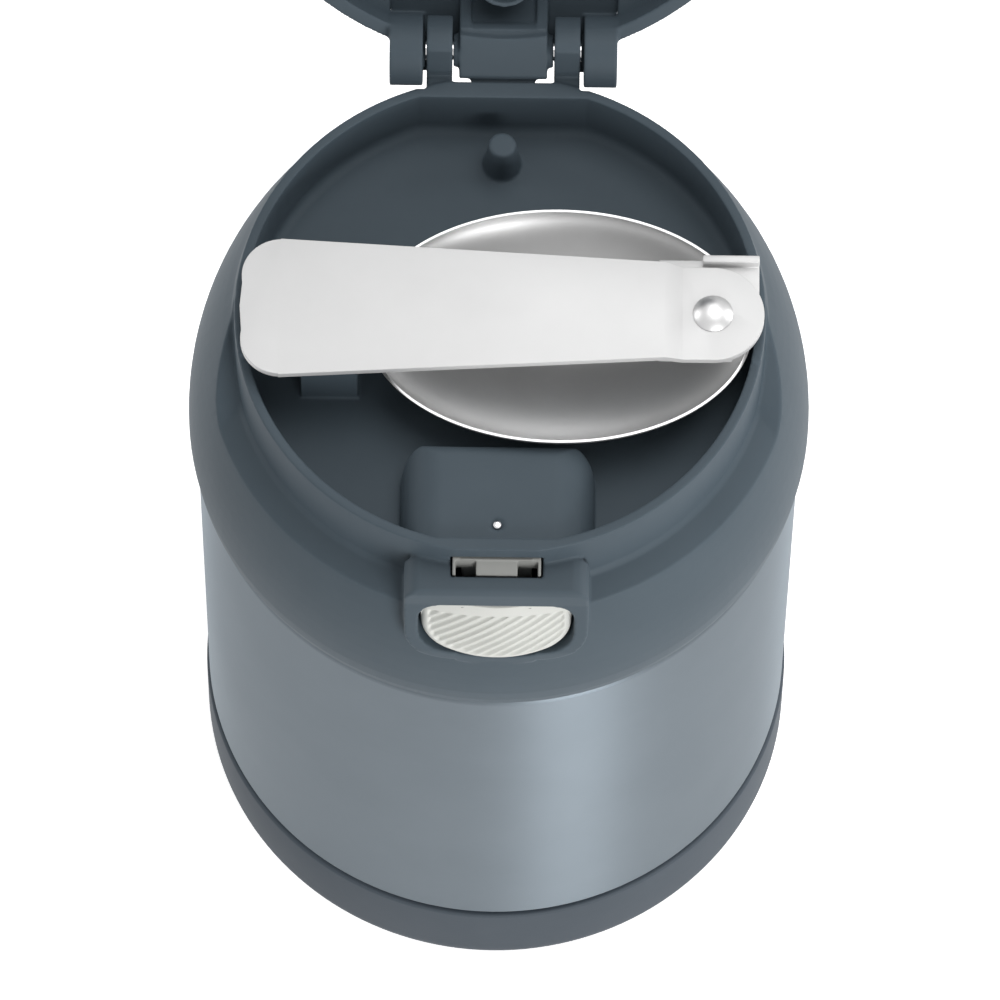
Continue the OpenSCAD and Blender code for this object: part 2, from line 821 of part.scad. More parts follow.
module latch_slider() {
    color(CATCH_GREY)
        difference() {
            union() {
                // link from the button
                box([-link_x, button_back_y - link_in, link_low_z], [link_x, slider_back_y, link_top_z]);
                // neck
                box([-link_x, neck_front_y, link_low_z], [link_x, slider_back_y, slider_top_z]);
                // catch block with its ramp
                along_x(-slider_x, slider_x)
                    polygon([
                        [slider_back_y, slider_top_z], [neck_front_y + 0.3, slider_top_z], [slider_front_y, slider_top_z - 1.6],
                        [slider_front_y, slider_top_z - slider_t], [slider_back_y, slider_top_z - slider_t]]);
                // tongue with the stop slot
                box([-tongue_x, slider_back_y - 0.1, tongue_low_z], [tongue_x, tongue_back_y, tongue_top_z]);
            }
            // pockets for the legs of the cover's loop
            mirror_x()
                box([nose_x, -far, slider_top_z - slider_t - over], [pocket_x, neck_front_y, slider_top_z + over]);
            // slot round the stop pin
            translate([0, stop_pin_y, tongue_low_z - over]) {
                cylinder(r = stop_pin_r + 0.1, h = slider_t + far);
                translate([0, -button_travel, 0])
                    cylinder(r = stop_pin_r + 0.1, h = slider_t + far);
                translate([-stop_pin_r - 0.1, -button_travel, 0])
                    cube([(stop_pin_r + 0.1) * 2, button_travel, slider_t + far]);
            }
        }
}

// Point of the spring's wire, ring i of n, side j.
function coil_point(i, j) =
    let (t = i / spring_rings, a = 360 * t, b = 360 * j / spring_sides,
        len = spring_back_y - tongue_back_y - spring_wire * 2 - 0.1,
        y = tongue_back_y + spring_wire + 0.05 + len * t / spring_turns,
        r = spring_r + spring_wire * cos(b))
    [r * cos(a), y + spring_wire * sin(b), (tongue_low_z + tongue_top_z) / 2 + r * sin(a)];

module latch_spring() {
    n = spring_rings * spring_turns;
    s = spring_sides;
    color(STEEL)
        polyhedron(
            points = [for (i = [0 : n]) for (j = [0 : s - 1]) coil_point(i, j)],
            faces = concat(
                [[for (j = [0 : s - 1]) j]],
                [for (i = [0 : n - 1]) for (j = [0 : s - 1])
                    [i * s + j, (i + 1) * s + j, (i + 1) * s + (j + 1) % s]],
                [for (i = [0 : n - 1]) for (j = [0 : s - 1])
                    [i * s + j, (i + 1) * s + (j + 1) % s, i * s + (j + 1) % s]],
                [[for (j = [s - 1 : -1 : 0]) n * s + j]]));
}

module latch_pin() {
    color(STEEL)
        translate([0, stop_pin_y, tray_z - 1])
            union() {
                cylinder(r = stop_pin_r, h = housing_z - 0.2 - tray_z + 1);
                translate([0, 0, housing_z - 0.2 - tray_z + 1])
                    cylinder(r1 = stop_pin_r, r2 = stop_pin_r * 0.6, h = stop_dome);
            }
}

module hinge_pin() {
    color(STEEL)
        on_hinge(pin_r, -arm_x + 0.6, arm_x - 0.6);
}

// Cover

module cover_profile(r, top, corner) {
    polygon(concat(
        [[0, ledge_z - over], [r, ledge_z - over]],
        [for (p = arc(r - 0.4 - corner, top - corner, corner, 0, 90, 8)) p],
        [[0, top]]));
}

module cover_closed() {
    difference() {
        union() {
            difference() {
                rotate_extrude()
                    cover_profile(cover_r, cover_top_z, cover_corner);
                rotate_extrude()
                    cover_profile(cover_r - cover_t, ceiling_z, cover_corner - cover_t);
                // lower edge: along the ledge in front, rising to the rim towards the hinge
                along_x(-far, far)
                    polygon([
                        [-far, ledge_z - far], [-far, ledge_z + gap], [ramp_front, ledge_z + gap],
                        [split_back_y, split_z], [far, split_z], [far, ledge_z - far]]);
                // open to the back, between the knuckles
                box([-arm_x, back_y - 1.45, ledge_z - over], [arm_x, far, ceiling_z]);
                // clear of the boss
                box([-boss_x - gap, -far, ledge_z - over], [boss_x + gap, -rim_out_r + 3, boss_z + gap]);
            }
            // hood over the knuckles
            along_x(-arm_x, arm_x)
                polygon(concat(
                    [[back_y + 0.55, ceiling_z], [hood_y, ceiling_z]],
                    arc(hood_y - 1.2, cover_top_z - 1.2, 1.2, 0, 90, 4),
                    [[back_y + 0.55, cover_top_z]]));
            // knuckles
            mirror_x() {
                on_hinge(arm_r, arm_in_x, arm_x);
                box([arm_in_x, hinge_y - 4, hinge_z + 3], [arm_x, hinge_y + 4, ceiling_z + 0.2]);
            }
            // small bosses round the pin that keep the knuckles and the web clear of the ears
            mirror_x() {
                on_hinge(hinge_boss_r, ear_out_x + side_gap, arm_in_x + side_gap);
                on_hinge(hinge_boss_r, web_x - side_gap, ear_in_x - side_gap);
            }
            // web between the lid's ears, with its scooped face
            intersection() {
                union() {
                    on_hinge(web_r, -web_x, web_x);
                    along_x(-web_x, web_x)
                        polygon([
                            [hinge_y - 2.1, web_face_z], [hinge_y + 1.8, web_face_z], [hinge_y + web_r, hinge_z],
                            [hinge_y + web_r, ceiling_z + 0.2], [hinge_y - 6.6, ceiling_z + 0.2]]);
                    mirror_x()
                        along_x(web_x - 1.8, web_x)
                            polygon([
                                [hinge_y - 3.7, web_face_z], [hinge_y, web_face_z], [hinge_y, ceiling_z + 0.2],
                                [hinge_y - 7.4, ceiling_z + 0.2], [hinge_y - 4.9, hinge_z]]);
                }
                box([-far, 0, web_face_z], [far, far, far * 3]);
            }
            // tube that closes round the tray's peg
            translate([0, post_y, post_z])
                cylinder(r = post_out_r, h = ceiling_z + 0.2 - post_z);
            // loop that the slider catches
            difference() {
                union() {
                    box([-loop_x, loop_front_y, slider_top_z - slider_t - 0.3 - loop_bar],
                        [loop_x, loop_back_y, ceiling_z + 0.2]);
                    box([-loop_x, -cover_r + 2.2, boss_z + 2.5], [loop_x, loop_front_y + 0.2, ceiling_z + 0.2]);
                }
                box([-loop_eye_x, loop_front_y - over, slider_top_z - slider_t - 0.3],
                    [loop_eye_x, loop_back_y + over, slider_top_z + gap]);
            }
        }
        translate([0, post_y, post_z - over])
            cylinder(r = post_in_r, h = ceiling_z - post_z + over);
        // slots beside the web
        mirror_x()
            box([web_x, hood_y - 1.9, ceiling_z - over], [ear_in_x + 0.1, far, cover_top_z + over]);
        // clear of the lid's shoulder
        difference() {
            barrel_solid(gap);
            ledge_room(gap);
        }
        on_hinge(pin_r + running, -arm_x - over, arm_x + over);
    }
}

module cover_shell() {
    toe_x = 5;
    color(SLATE)
        union() {
            opened()
                cover_closed();
            // toe that stops the open cover against the lid
            difference() {
                box([-toe_x, notch_y + 0.1, rim_z - 2], [toe_x, notch_y + 3, rim_z - 0.6]);
                on_hinge(pin_r + running, -arm_x, arm_x);
            }
        }
}

// Spoon

// Point of the bowl: ring i of n from its middle to its rim, side j of m, t inside its outer face.
function bowl_point(i, j, n, m, t) =
    let (a = 90 * i / n, b = 360 * j / m)
    [bowl_x + (bowl_a - t * 0.9) * sin(a) * cos(b), bowl_y + (bowl_b - t * 0.9) * sin(a) * sin(b),
     bowl_rim_z - (bowl_depth - t) * pow(cos(a), bowl_power)];

module spoon_bowl() {
    n = 9;
    m = 72;
    inner = n * m;
    low = 2 * n * m;
    color(SPOON_STEEL)
        polyhedron(
            points = concat(
                [for (i = [1 : n]) for (j = [0 : m - 1]) bowl_point(i, j, n, m, 0)],
                [for (i = [1 : n]) for (j = [0 : m - 1]) bowl_point(i, j, n, m, bowl_t)],
                [bowl_point(0, 0, n, m, 0), bowl_point(0, 0, n, m, bowl_t)]),
            faces = concat(
                [for (i = [0 : n - 2]) for (j = [0 : m - 1]) [i * m + j, (i + 1) * m + j, (i + 1) * m + (j + 1) % m]],
                [for (i = [0 : n - 2]) for (j = [0 : m - 1]) [i * m + j, (i + 1) * m + (j + 1) % m, i * m + (j + 1) % m]],
                [for (i = [0 : n - 2]) for (j = [0 : m - 1])
                    [inner + i * m + j, inner + (i + 1) * m + (j + 1) % m, inner + (i + 1) * m + j]],
                [for (i = [0 : n - 2]) for (j = [0 : m - 1])
                    [inner + i * m + j, inner + i * m + (j + 1) % m, inner + (i + 1) * m + (j + 1) % m]],
                [for (j = [0 : m - 1]) [low, j, (j + 1) % m]],
                [for (j = [0 : m - 1]) [low + 1, inner + (j + 1) % m, inner + j]],
                [for (j = [0 : m - 1]) [inner - m + j, low - m + j, low - m + (j + 1) % m]],
                [for (j = [0 : m - 1]) [inner - m + j, low - m + (j + 1) % m, inner - m + (j + 1) % m]]));
}

module spoon_strap() {
    color(SPOON_STEEL)
        difference() {
            union() {
                // plate on the rim of the bowl, that carries the rivet
                box([strap_x0, rivet_y, strap_z], [strap_x1, flange_in_y + spoon_t, strap_top_z]);
                box([strap_x0, strap_y0, strap_z], [rivet_x + 3, rivet_y + over, strap_top_z]);
                translate([rivet_x, rivet_y, strap_z])
                    cylinder(r = strap_r, h = spoon_t);
                // flange that stops the handle, folded and unfolded
                box([flange_x0, flange_in_y, strap_z], [strap_x1, flange_in_y + spoon_t, flange_top_z]);
            }
            translate([rivet_x, rivet_y, strap_z - over])
                cylinder(r = rivet_r, h = spoon_t + over * 2);
        }
}

// Outline of the handle seen from above.
module handle_outline() {
    half = lobe_r + 0.3;
    c = handle_corner;
    union() {
        translate([rivet_x, rivet_y])
            circle(r = lobe_r);
        polygon([
            [rivet_x, rivet_y + lobe_r], [joggle_x1, rivet_y + lobe_r], [joggle_x0, rivet_y + half],
            [handle_end_x + c, handle_end_y + handle_end_half], [handle_end_x + 0.4, handle_end_y + handle_end_half - c],
            [handle_end_x, handle_end_y], [handle_end_x + 0.4, handle_end_y - handle_end_half + c],
            [handle_end_x + c, handle_end_y - handle_end_half], [joggle_x0, rivet_y - half],
            [joggle_x1, rivet_y - lobe_r], [rivet_x, rivet_y - lobe_r]]);
        for (s = [-1, 1])
            translate([handle_end_x + c + 0.2, handle_end_y + s * (handle_end_half - c - 0.1)])
                circle(r = c);
    }
}

module spoon_handle() {
    top = pivot_z + spoon_t;
    color(SPOON_STEEL)
        difference() {
            intersection() {
                translate([0, 0, pivot_z - over])
                    linear_extrude(far)
                        handle_outline();
                // side profile with the joggle
                translate([0, far, 0])
                    rotate([90, 0, 0])
                        linear_extrude(far * 2)
                            polygon([
                                [handle_end_x - over, pivot_z + joggle_rise], [joggle_x0, pivot_z + joggle_rise],
                                [joggle_x1, pivot_z], [far, pivot_z], [far, top], [joggle_x1 + 0.3, top],
                                [joggle_x0 + 0.3, top + joggle_rise], [handle_end_x - over, top + joggle_rise]]);
            }
            translate([rivet_x, rivet_y, pivot_z - over])
                cylinder(r = rivet_r + running, h = far);
        }
}

module spoon_rivet() {
    head_z = pivot_z + spoon_t + 0.1;
    dome_r = (rivet_head_r * rivet_head_r + rivet_dome * rivet_dome) / 2 / rivet_dome;
    color(STEEL)
        translate([rivet_x, rivet_y, 0])
            union() {
                translate([0, 0, strap_z - washer_t - 0.1])
                    cylinder(r = rivet_r, h = head_z + 0.2 - strap_z + washer_t + 0.1);
                translate([0, 0, strap_z - washer_t - tail_t])
                    cylinder(r1 = tail_r - 0.4, r2 = tail_r, h = tail_t);
                intersection() {
                    translate([0, 0, head_z + rivet_dome - dome_r])
                        sphere(r = dome_r);
                    translate([0, 0, head_z])
                        cylinder(r = rivet_head_r, h = rivet_dome * 2);
                }
            }
}

module rivet_washer() {
    color(STEEL)
        translate([rivet_x, rivet_y, strap_z - washer_t])
            difference() {
                cylinder(r = washer_r, h = washer_t);
                translate([0, 0, -over])
                    cylinder(r = rivet_r, h = washer_t + over * 2);
            }
}

base_boot();
outer_shell();
neck_ring();
outer_bottom();
vacuum_seal();
getter();
inner_vessel();
reflective_foil();
lid_gasket();
lid_shell();
lid_collar();
lid_cup();
lid_insulation();
latch_button();
latch_slider();
latch_spring();
latch_pin();
hinge_pin();
cover_shell();
spoon_bowl();
spoon_strap();
spoon_handle();
spoon_rivet();
rivet_washer();
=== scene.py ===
"""Dresses the insulated food jar: refined meshes, finishes, a plain pale studio and the camera.

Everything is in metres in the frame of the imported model: origin at the centre of the foot, +Z up,
latch towards -Y, hinge of the cover towards +Y. Sizes in the classes are in millimetres.
"""

from __future__ import annotations

import json
import logging
import math
from dataclasses import dataclass, field
from enum import Enum
from typing import Sequence

import bmesh
import bpy
from mathutils import Matrix, Vector

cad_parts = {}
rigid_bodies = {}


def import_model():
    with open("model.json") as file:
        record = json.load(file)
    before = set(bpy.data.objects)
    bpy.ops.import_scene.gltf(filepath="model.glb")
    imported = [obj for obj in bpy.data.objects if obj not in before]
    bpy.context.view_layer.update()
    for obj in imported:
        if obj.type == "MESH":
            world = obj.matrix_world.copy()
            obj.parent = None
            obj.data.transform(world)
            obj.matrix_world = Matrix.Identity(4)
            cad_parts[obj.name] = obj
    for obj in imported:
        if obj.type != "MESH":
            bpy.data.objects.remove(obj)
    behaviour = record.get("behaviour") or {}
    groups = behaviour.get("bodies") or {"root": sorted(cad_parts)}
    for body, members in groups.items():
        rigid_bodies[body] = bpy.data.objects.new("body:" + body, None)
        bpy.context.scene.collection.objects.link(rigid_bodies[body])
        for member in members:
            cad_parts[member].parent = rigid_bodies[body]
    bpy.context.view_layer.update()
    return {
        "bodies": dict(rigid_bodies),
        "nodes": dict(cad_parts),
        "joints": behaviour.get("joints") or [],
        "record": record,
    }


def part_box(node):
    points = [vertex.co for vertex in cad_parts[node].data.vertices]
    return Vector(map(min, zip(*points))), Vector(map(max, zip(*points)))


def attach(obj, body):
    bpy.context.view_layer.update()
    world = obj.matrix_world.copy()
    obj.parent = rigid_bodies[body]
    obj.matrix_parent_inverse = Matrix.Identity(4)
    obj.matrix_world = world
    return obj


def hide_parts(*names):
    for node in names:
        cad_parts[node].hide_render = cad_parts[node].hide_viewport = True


LOG = logging.getLogger("food_jar")
MM = 0.001
QUARTER = math.pi / 2

FLOAT = "NodeSocketFloat"
COLOUR = "NodeSocketColor"
VECTOR = "NodeSocketVector"
GEOMETRY = "NodeSocketGeometry"

Piece = bpy.types.Object
Point2 = tuple[float, float]
Point3 = tuple[float, float, float]
Rgba = tuple[float, float, float, float]


def linear(rgb: Point3) -> Rgba:
    """Turns a display colour of 0 to 255 into Blender's linear colour.

    Args:
        rgb: Red, green and blue as seen on a screen.

    Returns:
        The linear colour with an alpha of 1.
    """
    curve = [v / 12.92 if v <= 0.04045 else ((v + 0.055) / 1.055) ** 2.4 for v in (c / 255 for c in rgb)]
    return (*curve, 1.0)


def grey(level: float) -> Rgba:
    """A linear grey of one level."""
    return (level, level, level, 1.0)


# Nodes


@dataclass
class Net:
    """A node tree, with short ways to add nodes and to link them."""

    tree: bpy.types.NodeTree

    @classmethod
    def group(
        cls, name: str, kind: str, inputs: Sequence[tuple[str, str, object]], outputs: dict[str, str]
    ) -> Net:
        """Makes an empty group with its sockets.

        Args:
            name: Name of the group.
            kind: Type of its tree.
            inputs: Name, socket type and default value of each input, None where it has no default.
            outputs: Socket type of each named output.

        Returns:
            The group.
        """
        tree = bpy.data.node_groups.new(name, kind)
        for label, socket_type, default in inputs:
            socket = tree.interface.new_socket(label, in_out="INPUT", socket_type=socket_type)
            if default is not None:
                socket.default_value = default
        for label, socket_type in outputs.items():
            tree.interface.new_socket(label, in_out="OUTPUT", socket_type=socket_type)
        return cls(tree)

    @classmethod
    def of(cls, owner: bpy.types.Material | bpy.types.World) -> Net:
        """Empties the node tree of a material or a world.

        Args:
            owner: What the tree belongs to.

        Returns:
            Its tree.
        """
        owner.use_nodes = True
        owner.node_tree.nodes.clear()
        return cls(owner.node_tree)

    def add(
        self, kind: str, inputs: dict[str | int, object] | None = None, **settings: object
    ) -> bpy.types.Node:
        """Adds a node.

        Args:
            kind: Type of the node.
            inputs: For each input, by name or number, a value or the node or output that feeds it.
            **settings: Properties of the node, which are set before its inputs.

        Returns:
            The node.
        """
        node = self.tree.nodes.new(kind)
        for name, value in settings.items():
            setattr(node, name, value)
        for key, value in (inputs or {}).items():
            self.feed(node, key, value)
        return node

    def feed(self, node: bpy.types.Node, key: str | int, value: object) -> None:
        """Feeds one input of a node.

        Args:
            node: The node.
            key: Name or number of the input.
            value: A value, an output to link from, or a node whose first output is meant.
        """
        if isinstance(value, bpy.types.Node):
            value = value.outputs[0]
        if isinstance(value, bpy.types.NodeSocket):
            self.tree.links.new(value, node.inputs[key])
        else:
            node.inputs[key].default_value = value


class Groups:
    """Builds each shared shader node group once."""

    def __init__(self) -> None:
        """Makes the three groups that the finishes share."""
        self.grain = self._grain()
        self.tone = self._tone()
        self.streaks = self._streaks()

    @staticmethod
    def _grain() -> bpy.types.NodeTree:
        """Fine moulded or blasted grain: a height for the bump, and a roughness that varies slowly.

        Returns:
            The group.
        """
        net = Net.group(
            "fine_grain",
            "ShaderNodeTree",
            [("Size", FLOAT, 1500.0), ("Roughness", FLOAT, 0.5), ("Spread", FLOAT, 0.1)],
            {"Height": FLOAT, "Roughness": FLOAT},
        )
        given = net.add("NodeGroupInput").outputs
        place = net.add("ShaderNodeTexCoord").outputs["Object"]
        fine = net.add("ShaderNodeTexNoise", {"Vector": place, "Scale": given["Size"], "Detail": 3.0})
        broad = net.add("ShaderNodeTexNoise", {"Vector": place, "Scale": 38.0, "Detail": 4.0})
        centre = net.add("ShaderNodeMath", {0: broad, 1: 0.5}, operation="SUBTRACT")
        change = {0: centre, 1: given["Spread"], 2: given["Roughness"]}
        rough = net.add("ShaderNodeMath", change, operation="MULTIPLY_ADD")
        net.add("NodeGroupOutput", {"Height": fine, "Roughness": rough})
        return net.tree

    @staticmethod
    def _tone() -> bpy.types.NodeTree:
        """Slow change between two near colours, as a moulding or a coat shows.

        Returns:
            The group.
        """
        net = Net.group(
            "soft_tone",
            "ShaderNodeTree",
            [("Colour", COLOUR, grey(0.5)), ("Second", COLOUR, grey(0.45))],
            {"Colour": COLOUR},
        )
        given = net.add("NodeGroupInput").outputs
        place = net.add("ShaderNodeTexCoord").outputs["Object"]
        noise = {"Vector": place, "Scale": 45.0, "Detail": 5.0, "Roughness": 0.6}
        cloud = net.add("ShaderNodeTexNoise", noise)
        band = net.add("ShaderNodeMapRange", {"Value": cloud, "From Min": 0.3, "From Max": 0.7})
        ends = {"Factor": band, "A": given["Colour"], "B": given["Second"]}
        mix = net.add("ShaderNodeMix", ends, data_type="RGBA")
        net.add("NodeGroupOutput", {"Colour": mix.outputs["Result"]})
        return net.tree

    @staticmethod
    def _streaks() -> bpy.types.NodeTree:
        """Brushing lines: noise stretched along each axis, or turned about Z where the part is spun.

        Returns:
            The group.
        """
        net = Net.group(
            "brush_lines",
            "ShaderNodeTree",
            [("Stretch", VECTOR, (1.0, 1.0, 1.0)), ("Round", FLOAT, 0.0)],
            {"Mask": FLOAT},
        )
        given = net.add("NodeGroupInput").outputs
        place = net.add("ShaderNodeTexCoord").outputs["Object"]
        split = net.add("ShaderNodeSeparateXYZ", {0: place}).outputs
        flat = net.add("ShaderNodeCombineXYZ", {"X": split["X"], "Y": split["Y"]})
        radius = net.add("ShaderNodeVectorMath", {0: flat}, operation="LENGTH").outputs["Value"]
        rings = net.add("ShaderNodeCombineXYZ", {"X": radius, "Z": split["Z"]})
        ends = {"Factor": given["Round"], "A": place, "B": rings}
        pick = net.add("ShaderNodeMix", ends, data_type="VECTOR").outputs["Result"]
        scale = net.add("ShaderNodeVectorMath", {0: pick, 1: given["Stretch"]}, operation="MULTIPLY")
        noise = {"Vector": scale, "Scale": 1.0, "Detail": 6.0, "Roughness": 0.7}
        net.add("NodeGroupOutput", {"Mask": net.add("ShaderNodeTexNoise", noise)})
        return net.tree


# Finishes


class Brushing(Enum):
    """How a metal surface is brushed: noise scale along X, Y and Z in 1/m, and whether it is spun."""

    NONE = ((0.0, 0.0, 0.0), 0.0)
    SPUN = ((5200.0, 5200.0, 5200.0), 1.0)
    ALONG_X = ((120.0, 5200.0, 5200.0), 0.0)
    ALONG_Y = ((5200.0, 120.0, 5200.0), 0.0)


@dataclass(frozen=True)
class Finish:
    """One surface finish.

    Colours are display colours of 0 to 255, grain is the noise scale in 1/m and bump the depth in mm.
    """

    slot: str
    colour: Point3
    second: Point3
    roughness: float
    spread: float = 0.08
    metallic: float = 0.0
    grain: float = 1600.0
    bump: float = 0.01
    brushing: Brushing = Brushing.NONE
    brush_bump: float = 0.0
    specular: float = 0.5
    anisotropy: float = 0.0
    anisotropy_turn: float = 0.0

    def build(self, groups: Groups) -> bpy.types.Material:
        """Makes the material.

        Args:
            groups: The shared shader node groups.

        Returns:
            A material whose colour, roughness and bump come from nodes on Object coordinates.
        """
        material = bpy.data.materials.new(self.slot)
        net = Net.of(material)
        tones = {"Colour": linear(self.colour), "Second": linear(self.second)}
        tone = net.add("ShaderNodeGroup", tones, node_tree=groups.tone)
        grains = {"Size": self.grain, "Roughness": self.roughness, "Spread": self.spread}
        grain = net.add("ShaderNodeGroup", grains, node_tree=groups.grain)
        depth = {"Strength": 1.0, "Distance": self.bump * MM}
        bump = net.add("ShaderNodeBump", {**depth, "Height": grain})
        if self.brushing is not Brushing.NONE:
            stretch, spun = self.brushing.value
            brush = {"Stretch": stretch, "Round": spun}
            lines = net.add("ShaderNodeGroup", brush, node_tree=groups.streaks)
            depth = {"Strength": 1.0, "Distance": self.brush_bump * MM}
            bump = net.add("ShaderNodeBump", {**depth, "Height": lines, "Normal": bump})
        shader = net.add(
            "ShaderNodeBsdfPrincipled",
            {
                "Base Color": tone,
                "Roughness": grain.outputs["Roughness"],
                "Normal": bump,
                "Metallic": self.metallic,
                "Specular IOR Level": self.specular,
            },
        )
        if self.anisotropy > 0.0:
            net.feed(shader, "Tangent", net.add("ShaderNodeTangent", direction_type="RADIAL", axis="Z"))
            net.feed(shader, "Anisotropic", self.anisotropy)
            net.feed(shader, "Anisotropic Rotation", self.anisotropy_turn)
        net.add("ShaderNodeOutputMaterial", {"Surface": shader})
        return material


class Look(Enum):
    """The finishes of this jar, each under its material slot in the record; the slider's grey is painted
    shade.
    """

    SLATE = Finish("slate_plastic", (73, 84, 92), (68, 79, 87), 0.6, 0.08, bump=0.012, specular=0.2)
    DARK = Finish("dark_plastic", (60, 67, 73), (55, 62, 68), 0.5, 0.10, bump=0.012, specular=0.3)
    BOOT = Finish("boot", (72, 80, 88), (67, 75, 83), 0.62, 0.10, bump=0.02, specular=0.25)
    PAINT = Finish(
        "steel_paint", (110, 119, 126), (106, 115, 122), 0.46, 0.05, metallic=0.65, grain=4200.0,
        bump=0.005, specular=0.4, anisotropy=0.9, anisotropy_turn=0.25,
    )
    VESSEL = Finish(
        "vessel_steel", (200, 200, 202), (188, 188, 190), 0.28, 0.08, metallic=1.0, bump=0.003,
        brushing=Brushing.SPUN, brush_bump=0.012,
    )
    FOIL = Finish(
        "foil", (216, 216, 218), (206, 206, 208), 0.3, 0.2, metallic=1.0, grain=260.0, bump=0.12
    )
    SEAL = Finish("seal", (216, 218, 215), (208, 210, 207), 0.55, 0.1, bump=0.02)
    FOAM = Finish("foam", (238, 238, 230), (228, 228, 220), 0.9, 0.05, grain=700.0, bump=0.12)
    BUTTON = Finish("button", (216, 217, 212), (210, 211, 206), 0.5, 0.08, bump=0.01, specular=0.35)
    # Painted shade: the slider is the button's pale plastic, darkened in its colour to stand for the
    # shade of the window it sits in.
    SHADED_SLIDER = Finish("catch", (146, 147, 144), (140, 141, 138), 0.5, 0.08, bump=0.01, specular=0.35)
    SPOON = Finish(
        "spoon_steel", (206, 206, 206), (196, 196, 196), 0.38, 0.08, metallic=1.0, bump=0.004,
        brushing=Brushing.ALONG_Y, brush_bump=0.006,
    )
    HANDLE = Finish(
        "handle_steel", (200, 200, 200), (195, 195, 195), 0.5, 0.06, metallic=0.35, grain=3000.0,
        bump=0.008, brushing=Brushing.ALONG_X, brush_bump=0.004,
    )
    PIN = Finish("pin_steel", (222, 222, 224), (214, 214, 216), 0.16, 0.05, metallic=1.0, bump=0.002)


# Meshes


def link(name: str, data: bpy.types.ID) -> Piece:
    """Makes an object of some data in the scene's collection.

    Args:
        name: Name of the object.
        data: Its mesh, lamp or camera.

    Returns:
        The object.
    """
    made = bpy.data.objects.new(name, data)
    bpy.context.scene.collection.objects.link(made)
    return made


def mesh_piece(
    name: str, verts: Sequence[Sequence[float]], faces: Sequence[Sequence[int]]
) -> Piece:
    """Makes an object from points in millimetres, without doubles or faces that have no area.

    Args:
        name: Name of the piece.
        verts: Points in millimetres, in the model's frame.
        faces: Indices of the points of each face.

    Returns:
        The linked object, at the origin, with outward faces.
    """
    double_mm, sliver_mm = 0.001, 0.0001
    mesh = bpy.data.meshes.new(name)
    mesh.from_pydata([tuple(c * MM for c in v) for v in verts], [], [tuple(f) for f in faces])
    work = bmesh.new()
    work.from_mesh(mesh)
    bmesh.ops.remove_doubles(work, verts=work.verts, dist=double_mm * MM)
    bmesh.ops.dissolve_degenerate(work, edges=work.edges, dist=sliver_mm * MM)
    bmesh.ops.recalc_face_normals(work, faces=work.faces)
    work.to_mesh(mesh)
    work.free()
    return link(name, mesh)


def tube_faces(rings: int, count: int) -> list[tuple[int, ...]]:
    """Faces of a closed tube whose points stand ring after ring.

    Args:
        rings: Number of rings.
        count: Number of points in each ring.

    Returns:
        The faces between the rings, and the two end faces.
    """
    faces: list[tuple[int, ...]] = []
    for i in range(rings - 1):
        for j in range(count):
            k = (j + 1) % count
            faces.append((i * count + j, i * count + k, (i + 1) * count + k, (i + 1) * count + j))
    last = (rings - 1) * count
    return [*faces, tuple(range(count)), tuple(range(last, last + count))]


def shade(piece: Piece, angle: float = 35.0) -> None:
    """Shades smooth, with edges sharper than the angle left sharp."""
    piece.data.shade_smooth()
    piece.data.set_sharp_from_angle(angle=math.radians(angle))


def apply_modifiers(piece: Piece) -> None:
    """Turns the evaluated piece into a plain mesh and removes its modifiers.

    Args:
        piece: The piece, changed in place.
    """
    bpy.context.view_layer.update()
    graph = bpy.context.evaluated_depsgraph_get()
    mesh = bpy.data.meshes.new_from_object(piece.evaluated_get(graph))
    piece.modifiers.clear()
    piece.data = mesh


def shift(r: float, z: float, offsets: Sequence[Point2]) -> list[Point2]:
    """Points at offsets from a corner of an outline."""
    return [(r + out, z + up) for out, up in offsets]


def arc(cx: float, cz: float, radius: float, start: float, end: float, steps: int) -> list[Point2]:
    """Points of an arc.

    Args:
        cx: Centre along the first axis.
        cz: Centre along the second axis.
        radius: Radius of the arc.
        start: First angle in degrees.
        end: Last angle in degrees.
        steps: Number of stretches.

    Returns:
        The points, both ends included.
    """
    angles = [math.radians(start + (end - start) * i / steps) for i in range(steps + 1)]
    return [(cx + radius * math.cos(a), cz + radius * math.sin(a)) for a in angles]


def rounded(corners: Sequence[Point3], steps: int = 4) -> list[Point2]:
    """Rounds the corners of a closed outline.

    Args:
        corners: First and second coordinate and radius of each corner.
        steps: Number of stretches in each rounding.

    Returns:
        The points of the rounded outline.
    """
    most_share = 0.48
    points: list[Point2] = []
    for i, (x, z, radius) in enumerate(corners):
        here = Vector((x, z))
        before = Vector(corners[i - 1][:2]) - here
        after = Vector(corners[(i + 1) % len(corners)][:2]) - here
        if radius <= 0:
            points.append((x, z))
            continue
        half = before.angle(after) / 2
        reach = min(radius / math.tan(half), before.length * most_share, after.length * most_share)
        start = here + before.normalized() * reach
        end = here + after.normalized() * reach
        for k in range(steps + 1):
            t = k / steps
            point = start.lerp(here, t).lerp(here.lerp(end, t), t)
            points.append((point.x, point.y))
    return points


def lathe(name: str, profile: Sequence[Point2], sides: int = 160) -> Piece:
    """Spins a closed outline of radius and height about the Z axis.

    Args:
        name: Name of the piece.
        profile: Points of radius and height in millimetres.
        sides: Number of sides of the spun shape.

    Returns:
        The piece, shaded smooth.
    """
    turns = [math.tau * j / sides for j in range(sides)]
    verts = [(r * math.cos(a), r * math.sin(a), z) for r, z in profile for a in turns]
    faces = []
    for i in range(len(profile)):
        k = (i + 1) % len(profile)
        if profile[i][0] == 0 and profile[k][0] == 0:
            continue
        for j in range(sides):
            n = (j + 1) % sides
            faces.append((i * sides + j, i * sides + n, k * sides + n, k * sides + j))
    piece = mesh_piece(name, verts, faces)
    shade(piece)
    return piece


